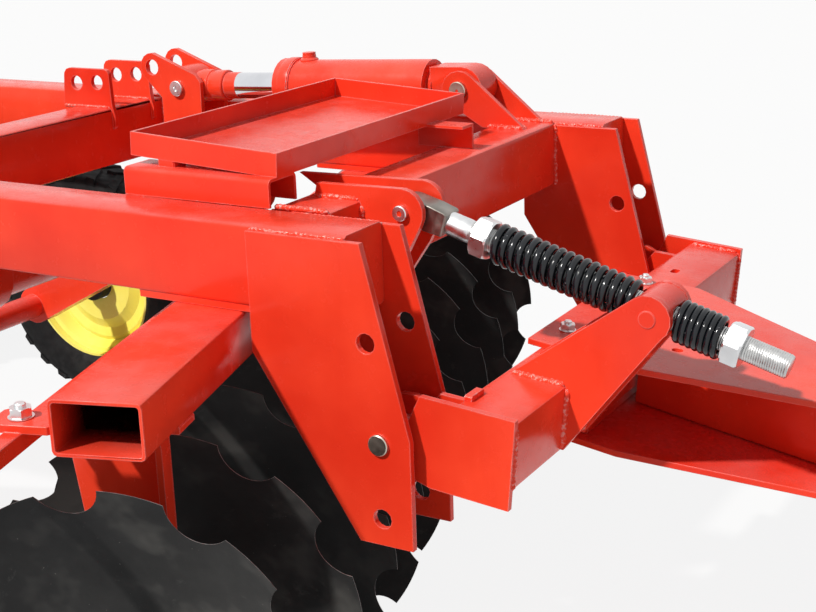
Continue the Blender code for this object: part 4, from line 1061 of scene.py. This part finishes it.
def drawbar_welds():
    """Beads on the cross tube: levers, end plates, lugs and the tongue's plates."""
    piece = Piece()
    top, front, behind = 0.0865, 0.2405, 0.1145

    def bead(y, start, end, radius, seed):
        piece.bead([on_drawbar(start[0], y, start[1]), on_drawbar(end[0], y, end[1])], radius, seed)

    for n, face in enumerate(faces(LEVER_GAP, PLATE)):
        bead(ROD_Y + face, (0.130, top), (0.236, top), HEAVY_BEAD, n // 2)
        bead(ROD_Y + face, (front, 0.080), (front, -0.036), BROAD_BEAD, n // 2 + 9)
    for side in (-1, 1):
        y = side * (HALF_FRAME - END_PLATE - PLATE - STAND)
        bead(y, (0.124, top), (0.232, top), BEAD, 31)
        bead(y, (front, 0.078), (front, -0.038), BEAD, 32)
        y = side * (HALF_FRAME - END_LUG - PLATE - STAND)
        bead(y, (behind, 0.070), (behind, -0.030), THIN_BEAD, 33)
    for y0, y1 in ((-0.240, -0.050), (0.020, 0.240)):
        piece.bead([on_drawbar(0.1155, y0, -0.0745), on_drawbar(0.1155, y1, -0.0745)], THIN_BEAD, 34)
    piece.bead([on_drawbar(0.0985, -0.240, 0.0855), on_drawbar(0.0985, 0.240, 0.0855)], FINE_BEAD, 35)
    piece.done("drawbar_weld_beads", WELD_RED, "drawbar", angle=60)


def round_shaft(y, start, end):
    """Points round the rock shaft, where a plate at y is welded to it; angles in degrees."""
    radius = 0.0712
    return [Vector((SHAFT.x, y, SHAFT.z)) + X * (radius * math.cos(a)) + Z * (radius * math.sin(a))
            for a in np.linspace(math.radians(start), math.radians(end), 40)]


def carrier_welds():
    """Beads round the rock shaft at the cranks and at the wheel arms."""
    piece = Piece()
    for n, face in enumerate(faces(EAR_GAP, CRANK_T)):
        piece.bead(round_shaft(CYLINDER_Y + face, -40, 220), WIDE_BEAD, n // 2)
    for side in (-1, 1):
        for face in (ARM_INNER - STAND, ARM_OUTER + STAND):
            piece.bead(round_shaft(MIDDLE_Y + side * face, -110, 110), WIDE_BEAD, 20 + side)
    piece.done("carrier_weld_beads", RED, "wheel_carrier", angle=60)


frame_welds()
drawbar_welds()
carrier_welds()


# ---------------- stage
FLOOR_HALF = 60.0
FLOOR_Z = -0.002
FLOOR_GLOW = 0.88       # share of plain white that the camera sees in the floor; the rest is shaded
SUN_FROM = Vector((-0.45, -1.00, 1.22))


def seen_by(nodes, links, *kinds):
    """1 for rays of any of these kinds, as the Light Path node names them."""
    path = nodes.new("ShaderNodeLightPath").outputs
    found = path[kinds[0]]
    for kind in kinds[1:]:
        made = nodes.new("ShaderNodeMath")
        made.operation = "MAXIMUM"
        links.new(found, made.inputs[0])
        links.new(path[kind], made.inputs[1])
        found = made.outputs[0]
    return found


def blend(nodes, links, share, hidden, shown):
    """Two shaders mixed: the second one by its share."""
    mix = nodes.new("ShaderNodeMixShader")
    for source, target in zip((share, hidden, shown), mix.inputs):
        links.new(source, target)
    return mix.outputs[0]


def pale_floor():
    """A matt floor that shows itself nearly white to the camera and still keeps the shadow."""
    mat = bpy.data.materials.new("pale_floor")
    mat.use_nodes = True
    nodes, links = mat.node_tree.nodes, mat.node_tree.links
    shader = nodes["Principled BSDF"]
    shader.inputs["Base Color"].default_value = (0.60, 0.60, 0.60, 1)
    shader.inputs["Roughness"].default_value = 0.9
    shader.inputs["Specular IOR Level"].default_value = 0.1
    share = nodes.new("ShaderNodeMath")
    share.operation = "MULTIPLY"
    share.inputs[1].default_value = FLOOR_GLOW
    links.new(seen_by(nodes, links, "Is Camera Ray", "Is Glossy Ray"), share.inputs[0])
    glow = nodes.new("ShaderNodeEmission")
    floor = blend(nodes, links, share.outputs[0], shader.outputs[0], glow.outputs[0])
    links.new(floor, nodes["Material Output"].inputs["Surface"])
    return mat


def stage():
    """The floor, as stage only."""
    mesh = bpy.data.meshes.new("floor")
    signs = ((-1, -1), (1, -1), (1, 1), (-1, 1))
    mesh.from_pydata([(FLOOR_HALF * x, FLOOR_HALF * y, FLOOR_Z) for x, y in signs], [], [(0, 1, 2, 3)])
    mesh.materials.append(pale_floor())
    floor = link("floor", mesh)


def world():
    """A soft, slightly blue sky for light, which shows plain white to the camera and in metal."""
    sky = bpy.context.scene.world or bpy.data.worlds.new("studio")
    bpy.context.scene.world = sky
    sky.use_nodes = True
    nodes, links = sky.node_tree.nodes, sky.node_tree.links
    nodes.clear()
    seen, soft = nodes.new("ShaderNodeBackground"), nodes.new("ShaderNodeBackground")
    seen.inputs["Color"].default_value = (1, 1, 1, 1)
    soft.inputs["Color"].default_value = (0.90, 0.94, 1.0, 1)
    soft.inputs["Strength"].default_value = 0.33
    share = seen_by(nodes, links, "Is Camera Ray", "Is Glossy Ray", "Is Transmission Ray")
    lit = blend(nodes, links, share, soft.outputs[0], seen.outputs[0])
    links.new(lit, nodes.new("ShaderNodeOutputWorld").inputs[0])


def sun():
    """The key light, from the right, ahead of the near hinge plate and above."""
    lamp = bpy.data.lights.new("key", "SUN")
    lamp.energy = 3.75
    lamp.angle = math.radians(2.5)
    lamp.color = (1.0, 0.97, 0.93)
    thing = link("key", lamp)
    thing.rotation_mode = "QUATERNION"
    thing.rotation_quaternion = SUN_FROM.normalized().to_track_quat("Z", "Y")


def camera():
    """The photograph's view, solved from its straight edges."""
    cam = bpy.data.cameras.new("view")
    cam.sensor_width = 36.0
    cam.lens = 64.9
    cam.clip_start, cam.clip_end = 0.05, 100.0
    eye = link("view", cam)
    azimuth, elevation, roll = math.radians(30.46), math.radians(17.05), math.radians(-1.93)
    back = Vector((math.sin(azimuth) * math.cos(elevation), -math.cos(azimuth) * math.cos(elevation),
                   math.sin(elevation)))
    right = Vector((math.cos(azimuth), math.sin(azimuth), 0))
    up = back.cross(right)
    turned_right = right * math.cos(roll) + up * math.sin(roll)
    turned_up = up * math.cos(roll) - right * math.sin(roll)
    eye.matrix_world = axes(at(1.447, -2.684, 1.630), turned_right, turned_up, back)
    bpy.context.scene.camera = eye


stage()
world()
sun()
camera()
bpy.context.scene.view_settings.view_transform = "Standard"
